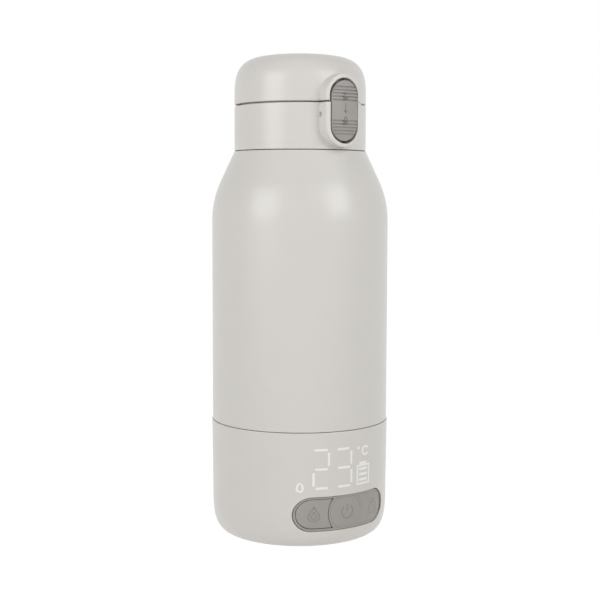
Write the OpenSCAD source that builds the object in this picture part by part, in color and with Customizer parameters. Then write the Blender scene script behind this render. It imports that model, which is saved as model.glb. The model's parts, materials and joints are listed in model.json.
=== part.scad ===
// Flask-type baby bottle warmer: a bottle with its own heated vessel on a battery base.
// Millimetres. Z is up and the table is z = 0. The bottle's axis is x = y = 0.
// The latch of the lid faces -Y. The front of the base is turned about Z by base_turn.

/* [Bottle] */
// Outer diameter of the bottle shell
body_d = 74; // [68:0.5:82]
// Height from the base seam to the collar seam
body_h = 112.7; // [95:0.5:135]
// Sheet thickness of the bottle shell
shell_wall = 0.8; // [0.5:0.1:1.2]
// Slope of the shoulder cone from the vertical, degrees
shoulder_angle = 25; // [21:1:30]
// Bend radius between the body and the shoulder cone
shoulder_bend_r = 39.4; // [25:0.5:45]
// Vacuum gap between the shell and the vessel
vacuum_gap = 2.8; // [2:0.1:4]
// Sheet thickness of the vessel
vessel_wall = 0.7; // [0.5:0.1:1]
// Corner radius round the vessel floor
vessel_corner_r = 5; // [3:0.5:7]
// Slope of the vessel's own shoulder from the vertical, degrees
vessel_angle = 32; // [28:1:40]
// Height of the thread ridge on the neck
thread_h = 1.1; // [0.8:0.1:1.3]
// Rise of the thread in one turn
thread_pitch = 4; // [3.6:0.1:4.4]

/* [Base] */
// Height of the base from the housing's underside to the base seam
base_h = 48.1; // [44:0.1:56]
// Radial step of the base top outside the bottle shell
base_step = 0.3; // [0:0.05:0.6]
// Radial narrowing of the base from its top to its corner
base_taper = 0.32; // [0:0.02:0.6]
// How far the bottom corner reaches in from the side
corner_reach = 11.2; // [8:0.1:14]
// How far the bottom corner reaches up the side
corner_rise = 19.8; // [14:0.1:24]
// Squareness of the bottom corner (2 is an ellipse)
corner_power = 3.65; // [2.5:0.05:4.5]
// Wall thickness of the base housing
base_wall = 2.2; // [1.8:0.1:2.6]
// How far the foot ring stands below the housing
foot_proud = 0.6; // [0.4:0.1:1.2]
// Width of the foot ring
foot_width = 7; // [5:0.5:8]
// Turn of the base front about Z from the lid's front, degrees
base_turn = -3.2; // [-20:0.2:20]

/* [Lid] */
// Outer diameter of the collar and cap
lid_d = 55; // [52:0.5:58]
// Height from the collar seam to the cap seam
collar_h = 18.9; // [18:0.1:21]
// Height from the cap seam to the top
cap_h = 21; // [20:0.1:24]
// Wall thickness of the cap
cap_wall = 2.1; // [1.6:0.1:2.4]
// Wall thickness of the collar
collar_wall = 2.9; // [2.6:0.1:3.2]
// How far the cap's corner reaches in from the side
cap_reach = 14.2; // [11:0.1:17]
// How far the cap's corner reaches up the side
cap_rise = 16.5; // [13:0.1:18]
// Squareness of the cap's corner (2 is an ellipse)
cap_power = 3.55; // [2.5:0.05:4.5]
// Height of the crown on top of the cap
cap_crown = 2.9; // [1:0.1:4]
// Bore diameter of the spout
spout_d = 21; // [16:0.5:24]
// Height of the spout above the deck
spout_h = 9.4; // [8:0.1:10]

/* [Latch] */
// Width of the latch boss
boss_w = 17.6; // [16:0.2:20]
// Distance of the boss face from the bottle's axis, beyond the lid radius
boss_proud = 4.1; // [3.6:0.1:5]
// Radius of the boss face, seen from above
boss_face_r = 40; // [32:1:80]
// Width of the rim round the latch window
boss_rim = 1.9; // [1.6:0.1:2.4]
// Height of the latch window
window_h = 26; // [24:0.2:28]
// Radius of the latch pin
latch_pin_r = 0.75; // [0.6:0.05:0.9]
// Travel of the lock slider
lock_travel = 0.9; // [0.6:0.05:1]
// Depth of the lock slider below the boss face
slider_sink = 0.25; // [0:0.05:0.5]
// Depth of the grip grooves in the lock slider
groove_depth = 0.4; // [0.2:0.05:0.6]

/* [Hinge] */
// Radius of the hinge barrel
barrel_r = 3.1; // [2.8:0.1:3.4]
// Radius of the hinge pin
hinge_pin_r = 1.1; // [0.9:0.05:1.3]
// Half width of the cap's hinge barrel
barrel_half = 7.2; // [6:0.2:9]
// Width of each hinge knuckle on the collar
knuckle_w = 4; // [3:0.2:5]

/* [Button pad] */
// Width of the pad, seen from the front
pad_w = 44; // [38:0.5:46]
// Height of the pad
pad_h = 14.4; // [12:0.2:15]
// Height of the pad's middle above the housing's underside
pad_z = 14.7; // [13.5:0.1:17]
// Depth of the bezel face below the housing's face
pad_recess = 0.45; // [0.2:0.05:0.8]
// Width of the bezel rim round the buttons
pad_rim = 1; // [0.8:0.1:1.5]
// Radius of the arcs that part the middle button from the side buttons
power_r = 7.4; // [6.4:0.05:8]
// Thickness of the webs between the buttons
web = 0.7; // [0.5:0.1:1]
// Gap round each button
button_gap = 0.3; // [0.25:0.05:0.5]
// Travel of each button
button_travel = 0.6; // [0.4:0.05:0.7]
// Distance of the side switches from the middle
side_switch_x = 12; // [11:0.2:13]

/* [Display] */
// Height of the digits' middle above the housing's underside
digit_z = 33.35; // [31:0.05:36]
// Width of a digit between its upright strokes
digit_w = 6; // [5:0.1:6.6]
// Height of a digit between its top and bottom strokes
digit_h = 15.3; // [13:0.1:16]
// Thickness of the strokes
stroke = 1.1; // [0.8:0.05:1.3]
// Depth of the lit inlays
inlay_depth = 0.6; // [0.4:0.05:0.9]

/* [Clearances] */
// Height of the base and collar seams
seam_gap = 0.3; // [0.2:0.05:0.5]
// Height of the cap seam
cap_gap = 0.5; // [0.4:0.05:0.7]
// Gap between parts that are fixed to each other
fit_gap = 0.2; // [0.1:0.05:0.3]
// Gap between moving faces
run_gap = 0.3; // [0.25:0.05:0.4]
// Radial clearance of a pin in its running bore
pin_gap = 0.05; // [0.02:0.01:0.08]

/* [Hidden] */
$fn = 96;
eps = 0.01;
far = 60;
steps = 12;
body_r = body_d / 2;
lid_r = lid_d / 2;
z_base_seam = foot_proud + base_h;
z_collar_seam = z_base_seam + body_h;
z_cap_seam = z_collar_seam + collar_h;
z_top = z_cap_seam + cap_h;
housing_top = z_base_seam - seam_gap / 2;
shell_z0 = z_base_seam + seam_gap / 2;
ledge_z = z_collar_seam - seam_gap / 2;
collar_z0 = z_collar_seam + seam_gap / 2;
collar_z1 = z_cap_seam - cap_gap / 2;
cap_z0 = z_cap_seam + cap_gap / 2;

// Lid and neck, from the outside in and from the top down
collar_in_r = lid_r - collar_wall;
insert_wall = 1.4;
insert_r = collar_in_r - fit_gap;
insert_in_r = insert_r - insert_wall;
crest_r = insert_in_r - 0.5;
neck_r = crest_r - thread_h;
ridge_r = neck_r + 0.4;
collar_lip = 0.8;
deck_t = 2;
deck_z1 = collar_z1 - 1.5;
deck_z0 = deck_z1 - deck_t;
gasket_t = 1.6;
gasket_z0 = deck_z0 - 0.05 - gasket_t;
lip_t = 0.8;
neck_top = gasket_z0 - 0.05 - lip_t;
thread_foot = 2.4;
thread_tip = 1;
thread_z0 = ledge_z + 2.6 + thread_foot / 2;
thread_turns = (neck_top - 1 - thread_foot / 2 - thread_z0) / thread_pitch;
ridge_turns = thread_turns - 0.2;
spout_r = spout_d / 2;
spout_wall = 2;
spout_top = deck_z1 + spout_h;
seal_t = 2.7;
seal_z0 = spout_top + run_gap;
ceiling_z = seal_z0 + seal_t + 0.05;
liner_wall = 1.3;
liner_r = lid_r - cap_wall - 2;
liner_lip_r = collar_in_r - run_gap;
liner_lip_t = 0.9;
liner_dip = 0.85;
cap_corner_z = z_top - cap_crown - cap_rise;

// Bottle
bend_z = ledge_z - shoulder_bend_r * sin(shoulder_angle)
    - (body_r - shoulder_bend_r * (1 - cos(shoulder_angle)) - lid_r - 0.1) / tan(shoulder_angle);
vessel_r = body_r - shell_wall - vacuum_gap;
vessel_bend_r = 20;
vessel_neck_r = neck_r - shell_wall - 0.1;
vessel_neck_z = ledge_z - shell_wall - 1.6;
vessel_bend_z = vessel_neck_z - vessel_bend_r * sin(vessel_angle)
    - (vessel_r - vessel_bend_r * (1 - cos(vessel_angle)) - vessel_neck_r) / tan(vessel_angle);
vessel_z0 = z_base_seam + 5.5;
jacket_z = vessel_z0 + vessel_corner_r + 0.4;

// Base
base_top_r = body_r + base_step;
base_low_r = base_top_r - base_taper;
base_in_r = base_low_r - base_wall;
flat_r = base_low_r - corner_reach;
floor_z = foot_proud + base_wall;
cover_r = flat_r - 1.6;
ledge_t = 2;
cover_screw_r = cover_r - 3;
foot_out_r = cover_screw_r - 3.2;
foot_in_r = foot_out_r - foot_width;
board_z = floor_z + ledge_t + 1.8;
board_t = 1.6;
board_top = board_z + board_t;
post = [19, 15];
tray_z = board_top + 3.8;
tray_t = 1.2;
heater_tray_z = housing_top - 6;
heater_tray_t = 2;
heater_tray_top = heater_tray_z + heater_tray_t;
cell_size = [43.6, 36];
cell_gap = 0.2;
cell_t = (heater_tray_z - tray_z - tray_t - 0.6) / 3 - cell_gap;
spreader_t = 2.3;
spreader_z = vessel_z0 - 0.05 - spreader_t;
film_t = 0.9;
film_z = spreader_z - 0.05 - film_t;
clamp_t = 1;
clamp_z = film_z - 0.05 - clamp_t;
heater_r = vessel_r - vessel_corner_r - 0.6;
lead = [27, 6];
port_z = board_top + 1.75;
cover_screw_angles = [0, 90, 180, 270];

// Latch
boss_face = lid_r + boss_proud;
boss_mid_z = z_cap_seam - 3.7;
window_w = boss_w - 2 * boss_rim;
lever_face = boss_face - 2.2;
lever_back = boss_face - 3.3;
slider_face = boss_face - slider_sink;
latch_pin_y = lid_r - 0.7;
latch_pin_z = boss_mid_z - 1.3;
lug_r = 1.7;
slider_w = window_w - 0.8;
slider_z0 = boss_mid_z - window_h / 2 + lock_travel + 0.8;
slider_z1 = boss_mid_z + window_h / 2 - 0.8;
lever_z0 = boss_mid_z - window_h / 2 + 1.8;
lever_z1 = boss_mid_z + window_h / 2 - 1.7;
rib_pitch = 1.3;
latch_spring_z = lever_z0 + 3.2;

// Hinge
hinge_y = lid_r + 1;
hinge_z = z_cap_seam;
knuckle_x0 = barrel_half + run_gap;
knuckle_x1 = knuckle_x0 + knuckle_w;
barrel_space_r = barrel_r + 0.25;

// Button pad and display
pad_mid_z = foot_proud + pad_z;
bezel_back = base_wall + 0.55;
flange_front = bezel_back + run_gap;
flange_back = flange_front + 0.95;
guide_back = base_low_r - 9.3;
guide_w = pad_w - 3;
switch_half = 2.2;
control_half = side_switch_x + switch_half + 0.5;
board_face = guide_back - 0.1;
switch_top = board_face + 1.4;
stem_end = switch_top + button_travel + 0.2;
digit_mid_z = foot_proud + digit_z;
digit_x = [-11.5, -1.4];
cover_w = 14;
cover_h = 6.4;
cover_bead_r = 0.65;
cover_room = 0.3;
cover_hinge_x = cover_w / 2 - cover_bead_r;
port_skin_r = sqrt(pow(base_low_r - 0.55, 2) - pow(cover_hinge_x, 2));

// Helpers: point lists
function arc(cx, cz, r, a0, a1) =
    [for (i = [0:steps]) let (a = a0 + (a1 - a0) * i / steps) [cx + r * cos(a), cz + r * sin(a)]];
function corner(cx, cz, rx, rz, p) =
    [for (i = [0:steps]) let (t = 90 * i / steps)
        [cx + rx * pow(cos(t), 2 / p), cz + rz * pow(sin(t), 2 / p)]];
// A smooth ramp between two points, upright at both ends
function flare(a, b) =
    [for (i = [0:steps]) [a[0] + (b[0] - a[0]) * (1 - cos(180 * i / steps)) / 2,
                          a[1] + (b[1] - a[1]) * i / steps]];
function flip(list) = [for (i = [len(list) - 1:-1:0]) list[i]];
function crowned(list) = [for (p = list) [p[0], p[1] + cap_crown * (1 - pow(p[0] / lid_r, 2))]];
function ring_points(ring, c, u, v) = [for (q = ring) c + q[0] * u + q[1] * v];
function circle_ring(r, n) = [for (i = [0:n - 1]) [r * cos(360 * i / n), r * sin(360 * i / n)]];

// A tube through rings of points, closed at both ends
module skin(rings) {
    n = len(rings[0]);
    m = len(rings);
    points = [for (ring = rings) for (p = ring) p];
    sides = [for (k = [0:m - 2]) for (i = [0:n - 1]) let (j = (i + 1) % n)
        [k * n + i, k * n + j, (k + 1) * n + j, (k + 1) * n + i]];
    first = [for (i = [n - 1:-1:0]) i];
    last = [for (i = [0:n - 1]) (m - 1) * n + i];
    polyhedron(points, concat([first], sides, [last]), convexity = 8);
}

// A thread ridge round Z: foot at radius foot_r, tip at radius tip_r
module ridge(foot_r, tip_r, turns, start) {
    count = ceil(turns * 24);
    profile = [[foot_r, -thread_foot / 2], [tip_r, -thread_tip / 2],
               [tip_r, thread_tip / 2], [foot_r, thread_foot / 2]];
    order = tip_r > foot_r ? profile : flip(profile);
    skin([for (i = [0:count])
        let (a = start + 360 * turns * i / count, z = thread_z0 + thread_pitch * turns * i / count)
        [for (q = order) [q[0] * cos(a), q[0] * sin(a), z + q[1]]]]);
}

// A round wire coiled about X from x0 to x1, with its axis at y, z
module coil_x(coil_r, wire_r, turns, x0, x1) {
    count = turns * 14;
    ring = circle_ring(wire_r, 6);
    skin([for (i = [0:count])
        let (a = 360 * turns * i / count, x = x0 + (x1 - x0) * i / count)
        ring_points(ring, [x, coil_r * cos(a), coil_r * sin(a)], [0, cos(a), sin(a)], [1, 0, 0])]);
}

// Helpers: shapes placed in the shared frame
module lathe(points) {
    rotate_extrude() polygon(points);
}
module tube(r0, r1, z0, z1) {
    translate([0, 0, z0])
        difference() {
            cylinder(h = z1 - z0, r = r1);
            translate([0, 0, -1]) cylinder(h = z1 - z0 + 2, r = r0);
        }
}
module disc(r, z0, z1) {
    translate([0, 0, z0]) cylinder(h = z1 - z0, r = r);
}
module slab(x0, x1, y0, y1, z0, z1) {
    translate([x0, y0, z0]) cube([x1 - x0, y1 - y0, z1 - z0]);
}
// A flat outline in (x, z), pushed out towards -Y between two distances from the axis
module to_front(d0, d1) {
    rotate([90, 0, 0]) translate([0, 0, d0]) linear_extrude(d1 - d0) children();
}
// A flat outline in (y, z), pushed along X
module along_x(x0, x1) {
    translate([x0, 0, 0]) rotate([90, 0, 90]) linear_extrude(x1 - x0) children();
}
module rod_x(r, x0, x1, y, z) {
    translate([x0, y, z]) rotate([0, 90, 0]) cylinder(h = x1 - x0, r = r);
}
module lying_stadium(w, h, z) {
    translate([0, z]) {
        square([w - h, h], center = true);
        translate([-(w - h) / 2, 0]) circle(d = h);
        translate([(w - h) / 2, 0]) circle(d = h);
    }
}
module standing_stadium(w, z0, z1) {
    translate([-w / 2, z0 + w / 2]) square([w, z1 - z0 - w]);
    translate([0, z0 + w / 2]) circle(d = w);
    translate([0, z1 - w / 2]) circle(d = w);
}
module base_frame() {
    rotate([0, 0, base_turn]) children();
}
module base_rear() {
    rotate([0, 0, base_turn + 180]) children();
}
module at_posts() {
    for (x = [-post[0], post[0]], y = [-post[1], post[1]]) translate([x, y, 0]) children();
}

// Solid of the base inside its outer face, inset all over by off
module base_solid(off, z1) {
    lathe(concat(
        [[0, z1], [base_top_r - off, z1]],
        [for (p = corner(flat_r, foot_proud + corner_rise, corner_reach - off,
            -(corner_rise - off), corner_power)) p],
        [[0, foot_proud + off]]));
}
// Skin of the base between two depths below its outer face
module base_skin(off0, off1) {
    difference() {
        base_solid(off0, housing_top);
        base_solid(off1, housing_top + 1);
    }
}
// Solid of the cap inside its outer face, inset all over by off
module cap_solid(off, z0) {
    lathe(concat(
        [[0, z0], [lid_r - off, z0]],
        crowned(corner(lid_r - cap_reach, cap_corner_z, cap_reach - off, cap_rise - off, cap_power)),
        crowned([for (i = [1:4]) [(lid_r - cap_reach) * (1 - i / 4), cap_corner_z + cap_rise - off]])));
}
// Everything behind the boss face, at a distance from the axis in front
module face_solid(d) {
    translate([0, boss_face_r - boss_face, collar_z0 - 5])
        cylinder(h = 50, r = boss_face_r - boss_face + d);
}
module boss() {
    intersection() {
        to_front(lid_r - 4, boss_face + 2)
            standing_stadium(boss_w, boss_mid_z - window_h / 2 - boss_rim,
                boss_mid_z + window_h / 2 + boss_rim);
        face_solid(boss_face);
    }
}
module window_2d() {
    standing_stadium(window_w, boss_mid_z - window_h / 2, boss_mid_z + window_h / 2);
}

// Lid: cap
module cap_shell() color("LightGray") {
    difference() {
        union() {
            cap_solid(0, cap_z0);
            intersection() {
                boss();
                translate([0, 0, cap_z0 + 25]) cube([far, 2 * far, 50], center = true);
            }
            rod_x(barrel_r, -barrel_half, barrel_half, hinge_y, hinge_z);
            along_x(-barrel_half, barrel_half)
                polygon(concat(
                    [[lid_r - cap_wall - 0.5, cap_z0]],
                    flare([hinge_y + barrel_r * 0.99, cap_z0], [lid_r - 1.3, hinge_z + 9.5]),
                    [[lid_r - cap_wall - 0.5, hinge_z + 9.5]]));
        }
        difference() {
            cap_solid(cap_wall, cap_z0 - eps);
            rod_x(barrel_r, -barrel_half, barrel_half, hinge_y, hinge_z);
        }
        difference() {
            to_front(lid_r - 4, far) window_2d();
            disc(lid_r + 0.05, cap_z0 - 2, z_top);
        }
        catch_slot();
        rod_x(hinge_pin_r + pin_gap, -far, far, hinge_y, hinge_z);
        rod_x(barrel_r - 0.7, -barrel_half + 1.7, barrel_half - 1.7, hinge_y, hinge_z);
        rod_x(barrel_space_r, barrel_half, knuckle_x1 + run_gap, hinge_y, hinge_z);
        rod_x(barrel_space_r, -knuckle_x1 - run_gap, -barrel_half, hinge_y, hinge_z);
    }
}
module catch_slot() {
    slab(-3.6, 3.6, -lid_r - 1, -lid_r + cap_wall + 1, boss_mid_z + 8.2, boss_mid_z + 10.4);
}
module cap_liner() color("White") {
    z0 = cap_z0 + 0.3;
    difference() {
        union() {
            disc(liner_r, z0, ceiling_z + 1.4);
            disc(lid_r - cap_wall - fit_gap, z0, z0 + 1.2);
            tube(liner_lip_r - liner_lip_t, liner_lip_r, collar_z1 - liner_dip, z0 + 0.6);
        }
        disc(liner_r - liner_wall, z0 - 1, ceiling_z);
        disc(3.1, ceiling_z - 1, ceiling_z + 3);
        rod_x(barrel_space_r, -knuckle_x1 - run_gap, knuckle_x1 + run_gap, hinge_y, hinge_z);
    }
}
module cap_seal() color("WhiteSmoke") {
    lathe([[0, seal_z0], [spout_r + spout_wall + 0.7, seal_z0], [spout_r + spout_wall + 1.2, seal_z0 + 0.5],
           [spout_r + spout_wall + 1.2, seal_z0 + seal_t], [3, seal_z0 + seal_t],
           [3, ceiling_z + 1.45], [3.7, ceiling_z + 1.5], [2.6, ceiling_z + 3], [0, ceiling_z + 3]]);
}

// Lid: collar and spout
module collar_shell() color("LightGray") {
    difference() {
        union() {
            disc(lid_r, collar_z0, collar_z1);
            intersection() {
                boss();
                slab(-far, far, -far, 0, collar_z0, collar_z1);
            }
            for (s = [-1, 1]) knuckle(s);
        }
        disc(collar_in_r, collar_z0 + collar_lip, z_top);
        disc(insert_in_r + 0.2, collar_z0 - 1, z_top);
        to_front(lid_r - 6, far) window_2d();
        rod_x(barrel_space_r, -knuckle_x0, knuckle_x0, hinge_y, hinge_z);
        rod_x(hinge_pin_r + 0.02, -far, far, hinge_y, hinge_z);
        rod_x(latch_pin_r + 0.02, -far, far, -latch_pin_y, latch_pin_z);
    }
}
module knuckle(side) {
    x0 = side < 0 ? -knuckle_x1 : knuckle_x0;
    rod_x(barrel_r, x0, x0 + knuckle_w, hinge_y, hinge_z);
    along_x(x0, x0 + knuckle_w)
        polygon(concat(
            [[collar_in_r - 1, collar_z1]],
            flare([hinge_y + barrel_r * 0.99, collar_z1], [lid_r - 2.5, hinge_z - 10]),
            [[collar_in_r - 1, hinge_z - 10]]));
}
module spout_insert() color("White") {
    lathe([[insert_in_r, collar_z0 + collar_lip + 0.05], [insert_r, collar_z0 + collar_lip + 0.05],
           [insert_r, deck_z1], [spout_r + spout_wall + 1, deck_z1], [spout_r + spout_wall, deck_z1 + 1],
           [spout_r + spout_wall, spout_top - 0.8], [spout_r + spout_wall - 0.6, spout_top],
           [spout_r + 0.6, spout_top], [spout_r, spout_top - 0.6], [spout_r, deck_z0],
           [insert_in_r, deck_z0]]);
    ridge(insert_in_r + 0.5, ridge_r, ridge_turns, 180);
}
module neck_gasket() color("WhiteSmoke") {
    tube(vessel_neck_r - vessel_wall + 0.1, insert_in_r - run_gap, gasket_z0, gasket_z0 + gasket_t);
}

// Lid: hinge
module hinge_pin() color("Silver") {
    rod_x(hinge_pin_r, -knuckle_x1 + 0.4, knuckle_x1 - 0.4, hinge_y, hinge_z);
}
module lid_spring() color("Silver") {
    translate([0, hinge_y, hinge_z])
        coil_x(hinge_pin_r + 0.72, 0.28, 5, -barrel_half + 2.4, barrel_half - 2.4);
}

// Lid: latch
module latch_lever() color("Gray") {
    difference() {
        union() {
            intersection() {
                to_front(lid_r - 3, far) standing_stadium(slider_w - 0.2, lever_z0, lever_z1);
                difference() {
                    face_solid(lever_face);
                    face_solid(lever_back);
                }
            }
            for (s = [-1, 1])
                along_x(s < 0 ? -slider_w / 2 + 0.2 : slider_w / 2 - 2.8,
                        s < 0 ? -slider_w / 2 + 2.8 : slider_w / 2 - 0.2)
                    union() {
                        translate([-latch_pin_y, latch_pin_z]) circle(r = lug_r);
                        translate([-lever_back - 0.4, latch_pin_z - lug_r])
                            square([lever_back + 0.4 - latch_pin_y, 2 * lug_r]);
                    }
            slab(-3, 3, -lever_back - 0.4, -lid_r - run_gap, boss_mid_z + 8.6, boss_mid_z + 10);
        }
        rod_x(latch_pin_r + pin_gap, -far, far, -latch_pin_y, latch_pin_z);
        slab(-1.9, 1.9, -far, -lever_back + 1, boss_mid_z - 3.6, boss_mid_z + 4.9);
    }
}
module latch_slider() color("DarkGray") {
    difference() {
        intersection() {
            to_front(lid_r - 3, far) standing_stadium(slider_w, slider_z0, slider_z1);
            difference() {
                face_solid(slider_face);
                face_solid(lever_face + 0.25);
            }
        }
        for (k = [0:4]) {
            rib_groove(boss_mid_z + 9.5 - k * rib_pitch);
            rib_groove(boss_mid_z - 3.9 - k * rib_pitch);
        }
    }
    slab(-1.6, 1.6, -lever_face - 0.9, -lever_back - 0.2,
         boss_mid_z - 3.6 + lock_travel + 0.3, boss_mid_z + 4.6);
}
module rib_groove(z) {
    intersection() {
        difference() {
            face_solid(boss_face + 2);
            face_solid(slider_face - groove_depth);
        }
        slab(-slider_w / 2 + 0.6, slider_w / 2 - 0.6, -far, 0, z - 0.25, z + 0.25);
    }
}
module latch_pin() color("Silver") {
    rod_x(latch_pin_r, -boss_w / 2 + 0.3, boss_w / 2 - 0.3, -latch_pin_y, latch_pin_z);
}
module latch_spring() color("Silver") {
    length = lever_back - insert_r - 0.8;
    translate([0, 0, latch_spring_z]) rotate([0, 0, -90])
        coil_x(1.5, 0.25, 3, insert_r + 0.4, insert_r + 0.4 + length);
}

// Bottle
module bottle_shell() color("LightGray") {
    w = shell_wall;
    a = shoulder_angle;
    bend = shoulder_bend_r;
    cone_r = body_r - bend + (bend - w) * cos(a);
    cone_z = bend_z + (bend - w) * sin(a);
    lathe(concat(
        [[body_r, shell_z0]],
        arc(body_r - bend, bend_z, bend, 0, a),
        [[lid_r + 0.1, ledge_z], [neck_r, ledge_z], [neck_r, neck_top], [neck_r - w, neck_top],
         [neck_r - w, ledge_z - w], [cone_r - (ledge_z - w - cone_z) * tan(a), ledge_z - w]],
        arc(body_r - bend, bend_z, bend - w, a, 0),
        [[body_r - w, shell_z0]]));
    ridge(neck_r - 0.4, crest_r, thread_turns, 0);
}
module inner_vessel() color("Silver") {
    w = vessel_wall;
    a = vessel_angle;
    bend = vessel_bend_r;
    cone_r = vessel_r - bend + (bend - w) * cos(a);
    cone_z = vessel_bend_z + (bend - w) * sin(a);
    in_r = vessel_neck_r - w;
    c = vessel_corner_r;
    lathe(concat(
        [[0, vessel_z0]],
        arc(vessel_r - c, vessel_z0 + c, c, -90, 0),
        arc(vessel_r - bend, vessel_bend_z, bend, 0, a),
        [[vessel_neck_r, vessel_neck_z], [vessel_neck_r, neck_top], [neck_r, neck_top],
         [neck_r, neck_top + lip_t], [in_r, neck_top + lip_t],
         [in_r, cone_z + (cone_r - in_r) / tan(a)]],
        arc(vessel_r - bend, vessel_bend_z, bend - w, a, 0),
        arc(vessel_r - c, vessel_z0 + c, c - w, 0, -90),
        [[0, vessel_z0 + w]]));
}
module jacket_ring() color("Silver") {
    tube(vessel_r + 0.05, body_r - shell_wall - 0.05, jacket_z, jacket_z + 0.8);
}

// Heater
module heater_tray() color("DimGray") {
    outer = body_r - shell_wall - fit_gap;
    rim_z = shell_z0 + 7.5;
    seal_mid = shell_z0 + 3;
    difference() {
        union() {
            disc(base_in_r - fit_gap, heater_tray_z, housing_top);
            disc(outer, housing_top, rim_z);
        }
        disc(base_in_r - fit_gap - 1.6, heater_tray_top, rim_z + 1);
        tube(outer - 1.5, outer + 1, seal_mid - 0.85, seal_mid + 0.85);
        at_leads(1.2);
    }
}
module at_leads(r) {
    base_frame()
        for (s = [-1, 1]) translate([s * lead[0], lead[1], 0]) cylinder(h = 200, r = r);
}
module base_seal() color("Black") {
    seal_mid = shell_z0 + 3;
    tube_r = 0.72;
    rotate_extrude()
        translate([body_r - shell_wall - 0.05 - tube_r, seal_mid]) circle(r = tube_r, $fn = 24);
}
module insulation_pad() color("Ivory") {
    difference() {
        disc(base_in_r - fit_gap - 2.2, heater_tray_top + 0.05, clamp_z - 0.05);
        at_leads(1.2);
        base_frame() {
            translate([8, 0, clamp_z - 4.2]) cylinder(h = 10, r = 2.2);
            slab(-5.5, 5.5, -12, -8, clamp_z - 3.8, clamp_z + 1);
        }
    }
}
module heater_clamp() color("Silver") {
    disc(heater_r + 1.5, clamp_z, clamp_z + clamp_t);
}
module heater_film() color("Goldenrod") {
    disc(heater_r - 0.5, film_z, film_z + film_t);
}
module heat_spreader() color("Gainsboro") {
    disc(heater_r, spreader_z, spreader_z + spreader_t);
}
module temperature_sensor() color("SteelBlue") {
    base_frame() translate([8, 0, clamp_z - 4]) cylinder(h = 3.95, r = 2);
}
module thermal_fuse() color("Peru") {
    base_frame() rod_x(1.7, -5.2, 5.2, -10, clamp_z - 1.8);
}

// Base: housing and underside
module base_housing() color("LightGray") {
    difference() {
        union() {
            base_skin(0, base_wall);
            tube(cover_screw_r - 3, flat_r + 2, floor_z - eps, floor_z + ledge_t);
            base_frame() {
                at_posts() disc(2.6, floor_z + 0.5, board_z);
                for (a = cover_screw_angles) rotate([0, 0, a]) translate([cover_screw_r, 0, 0])
                    disc(2.4, floor_z + 0.5, board_z - 0.4);
            }
        }
        disc(cover_r + fit_gap, -1, floor_z);
        disc(cover_screw_r - 3, -1, floor_z + ledge_t + 1);
        base_frame() {
            at_posts() disc(0.95, floor_z - 1, board_z + 1);
            for (a = cover_screw_angles) rotate([0, 0, a]) translate([cover_screw_r, 0, 0])
                disc(1.05, floor_z - 1, board_z + 1);
            to_front(base_low_r - 14, far) lying_stadium(pad_w, pad_h, pad_mid_z);
            intersection() {
                to_front(base_low_r - 14, far) lit_2d();
                base_skin(-1, inlay_depth + 0.02);
            }
        }
        base_rear() {
            to_front(base_low_r - 8, far) lying_stadium(10, 4.2, port_z);
            intersection() {
                to_front(base_low_r - 8, far) cover_2d(0.3);
                base_skin(-1, 1.5);
            }
        }
    }
}
module bottom_cover() color("Gray") {
    difference() {
        disc(cover_r, foot_proud, floor_z);
        tube(foot_in_r - fit_gap, foot_out_r + fit_gap, -1, foot_proud + 0.65);
        base_frame()
            for (a = cover_screw_angles) rotate([0, 0, a]) translate([cover_screw_r, 0, 0]) {
                disc(1.25, -1, 10);
                disc(2.2, -1, foot_proud + 1.4);
            }
    }
}
module cover_screws() color("Silver") {
    base_frame()
        for (a = cover_screw_angles) rotate([0, 0, a]) translate([cover_screw_r, 0, 0])
            difference() {
                union() {
                    disc(2, foot_proud + 0.3, foot_proud + 1.35);
                    disc(1, foot_proud + 1, floor_z + 3);
                }
                slab(-1.4, 1.4, -0.25, 0.25, 0, foot_proud + 0.7);
                slab(-0.25, 0.25, -1.4, 1.4, 0, foot_proud + 0.7);
            }
}
module foot_ring() color("DimGray") {
    tube(foot_in_r, foot_out_r, 0, foot_proud + 0.6);
}

// Base: electronics
module battery_tray() color("DarkSlateGray") {
    wx = cell_size[0] / 2;
    base_frame() difference() {
        union() {
            slab(-wx - 1.6, wx + 1.6, -cell_size[1] / 2 - 1, cell_size[1] / 2 + 1, tray_z, tray_z + tray_t);
            for (s = [-1, 1])
                slab(s < 0 ? -wx - 1.6 : wx + 0.3, s < 0 ? -wx - 0.3 : wx + 1.6, -12, 4,
                     tray_z, tray_z + tray_t + 2 * cell_t);
            at_posts() disc(2.6, board_top, tray_z + 0.5);
        }
        at_posts() {
            disc(1, 0, 100);
            disc(2.1, tray_z + 0.2, 100);
        }
    }
}
module battery_cells() color("Silver") {
    base_frame() for (i = [0:2]) {
        z = tray_z + tray_t + 0.05 + i * (cell_t + cell_gap);
        slab(-cell_size[0] / 2, cell_size[0] / 2, -cell_size[1] / 2, cell_size[1] / 2, z, z + cell_t);
    }
}
module board_screws() color("Silver") {
    base_frame() at_posts() {
        disc(1.9, tray_z + 0.25, tray_z + 1.15);
        disc(0.9, floor_z + 1.5, tray_z + 0.6);
    }
}
module main_board() color("SeaGreen") {
    base_frame() difference() {
        union() {
            intersection() {
                disc(base_low_r - 7, board_z, board_top);
                slab(-far, far, -24.5, far, 0, 100);
            }
            slab(-6.5, 6.5, 20, base_low_r - 4, board_z, board_top);
        }
        at_posts() disc(1, 0, 100);
    }
}
module charging_port() color("Silver") {
    back = base_low_r - 11.4;
    mouth = base_low_r - 3.8;
    base_rear() {
        difference() {
            to_front(back, mouth) lying_stadium(9, 3.3, port_z);
            to_front(back + 1.4, mouth + 1) lying_stadium(8.2, 2.5, port_z);
        }
        slab(-3.3, 3.3, -mouth + 1, -back - 1, port_z - 0.35, port_z + 0.35);
    }
}
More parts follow.
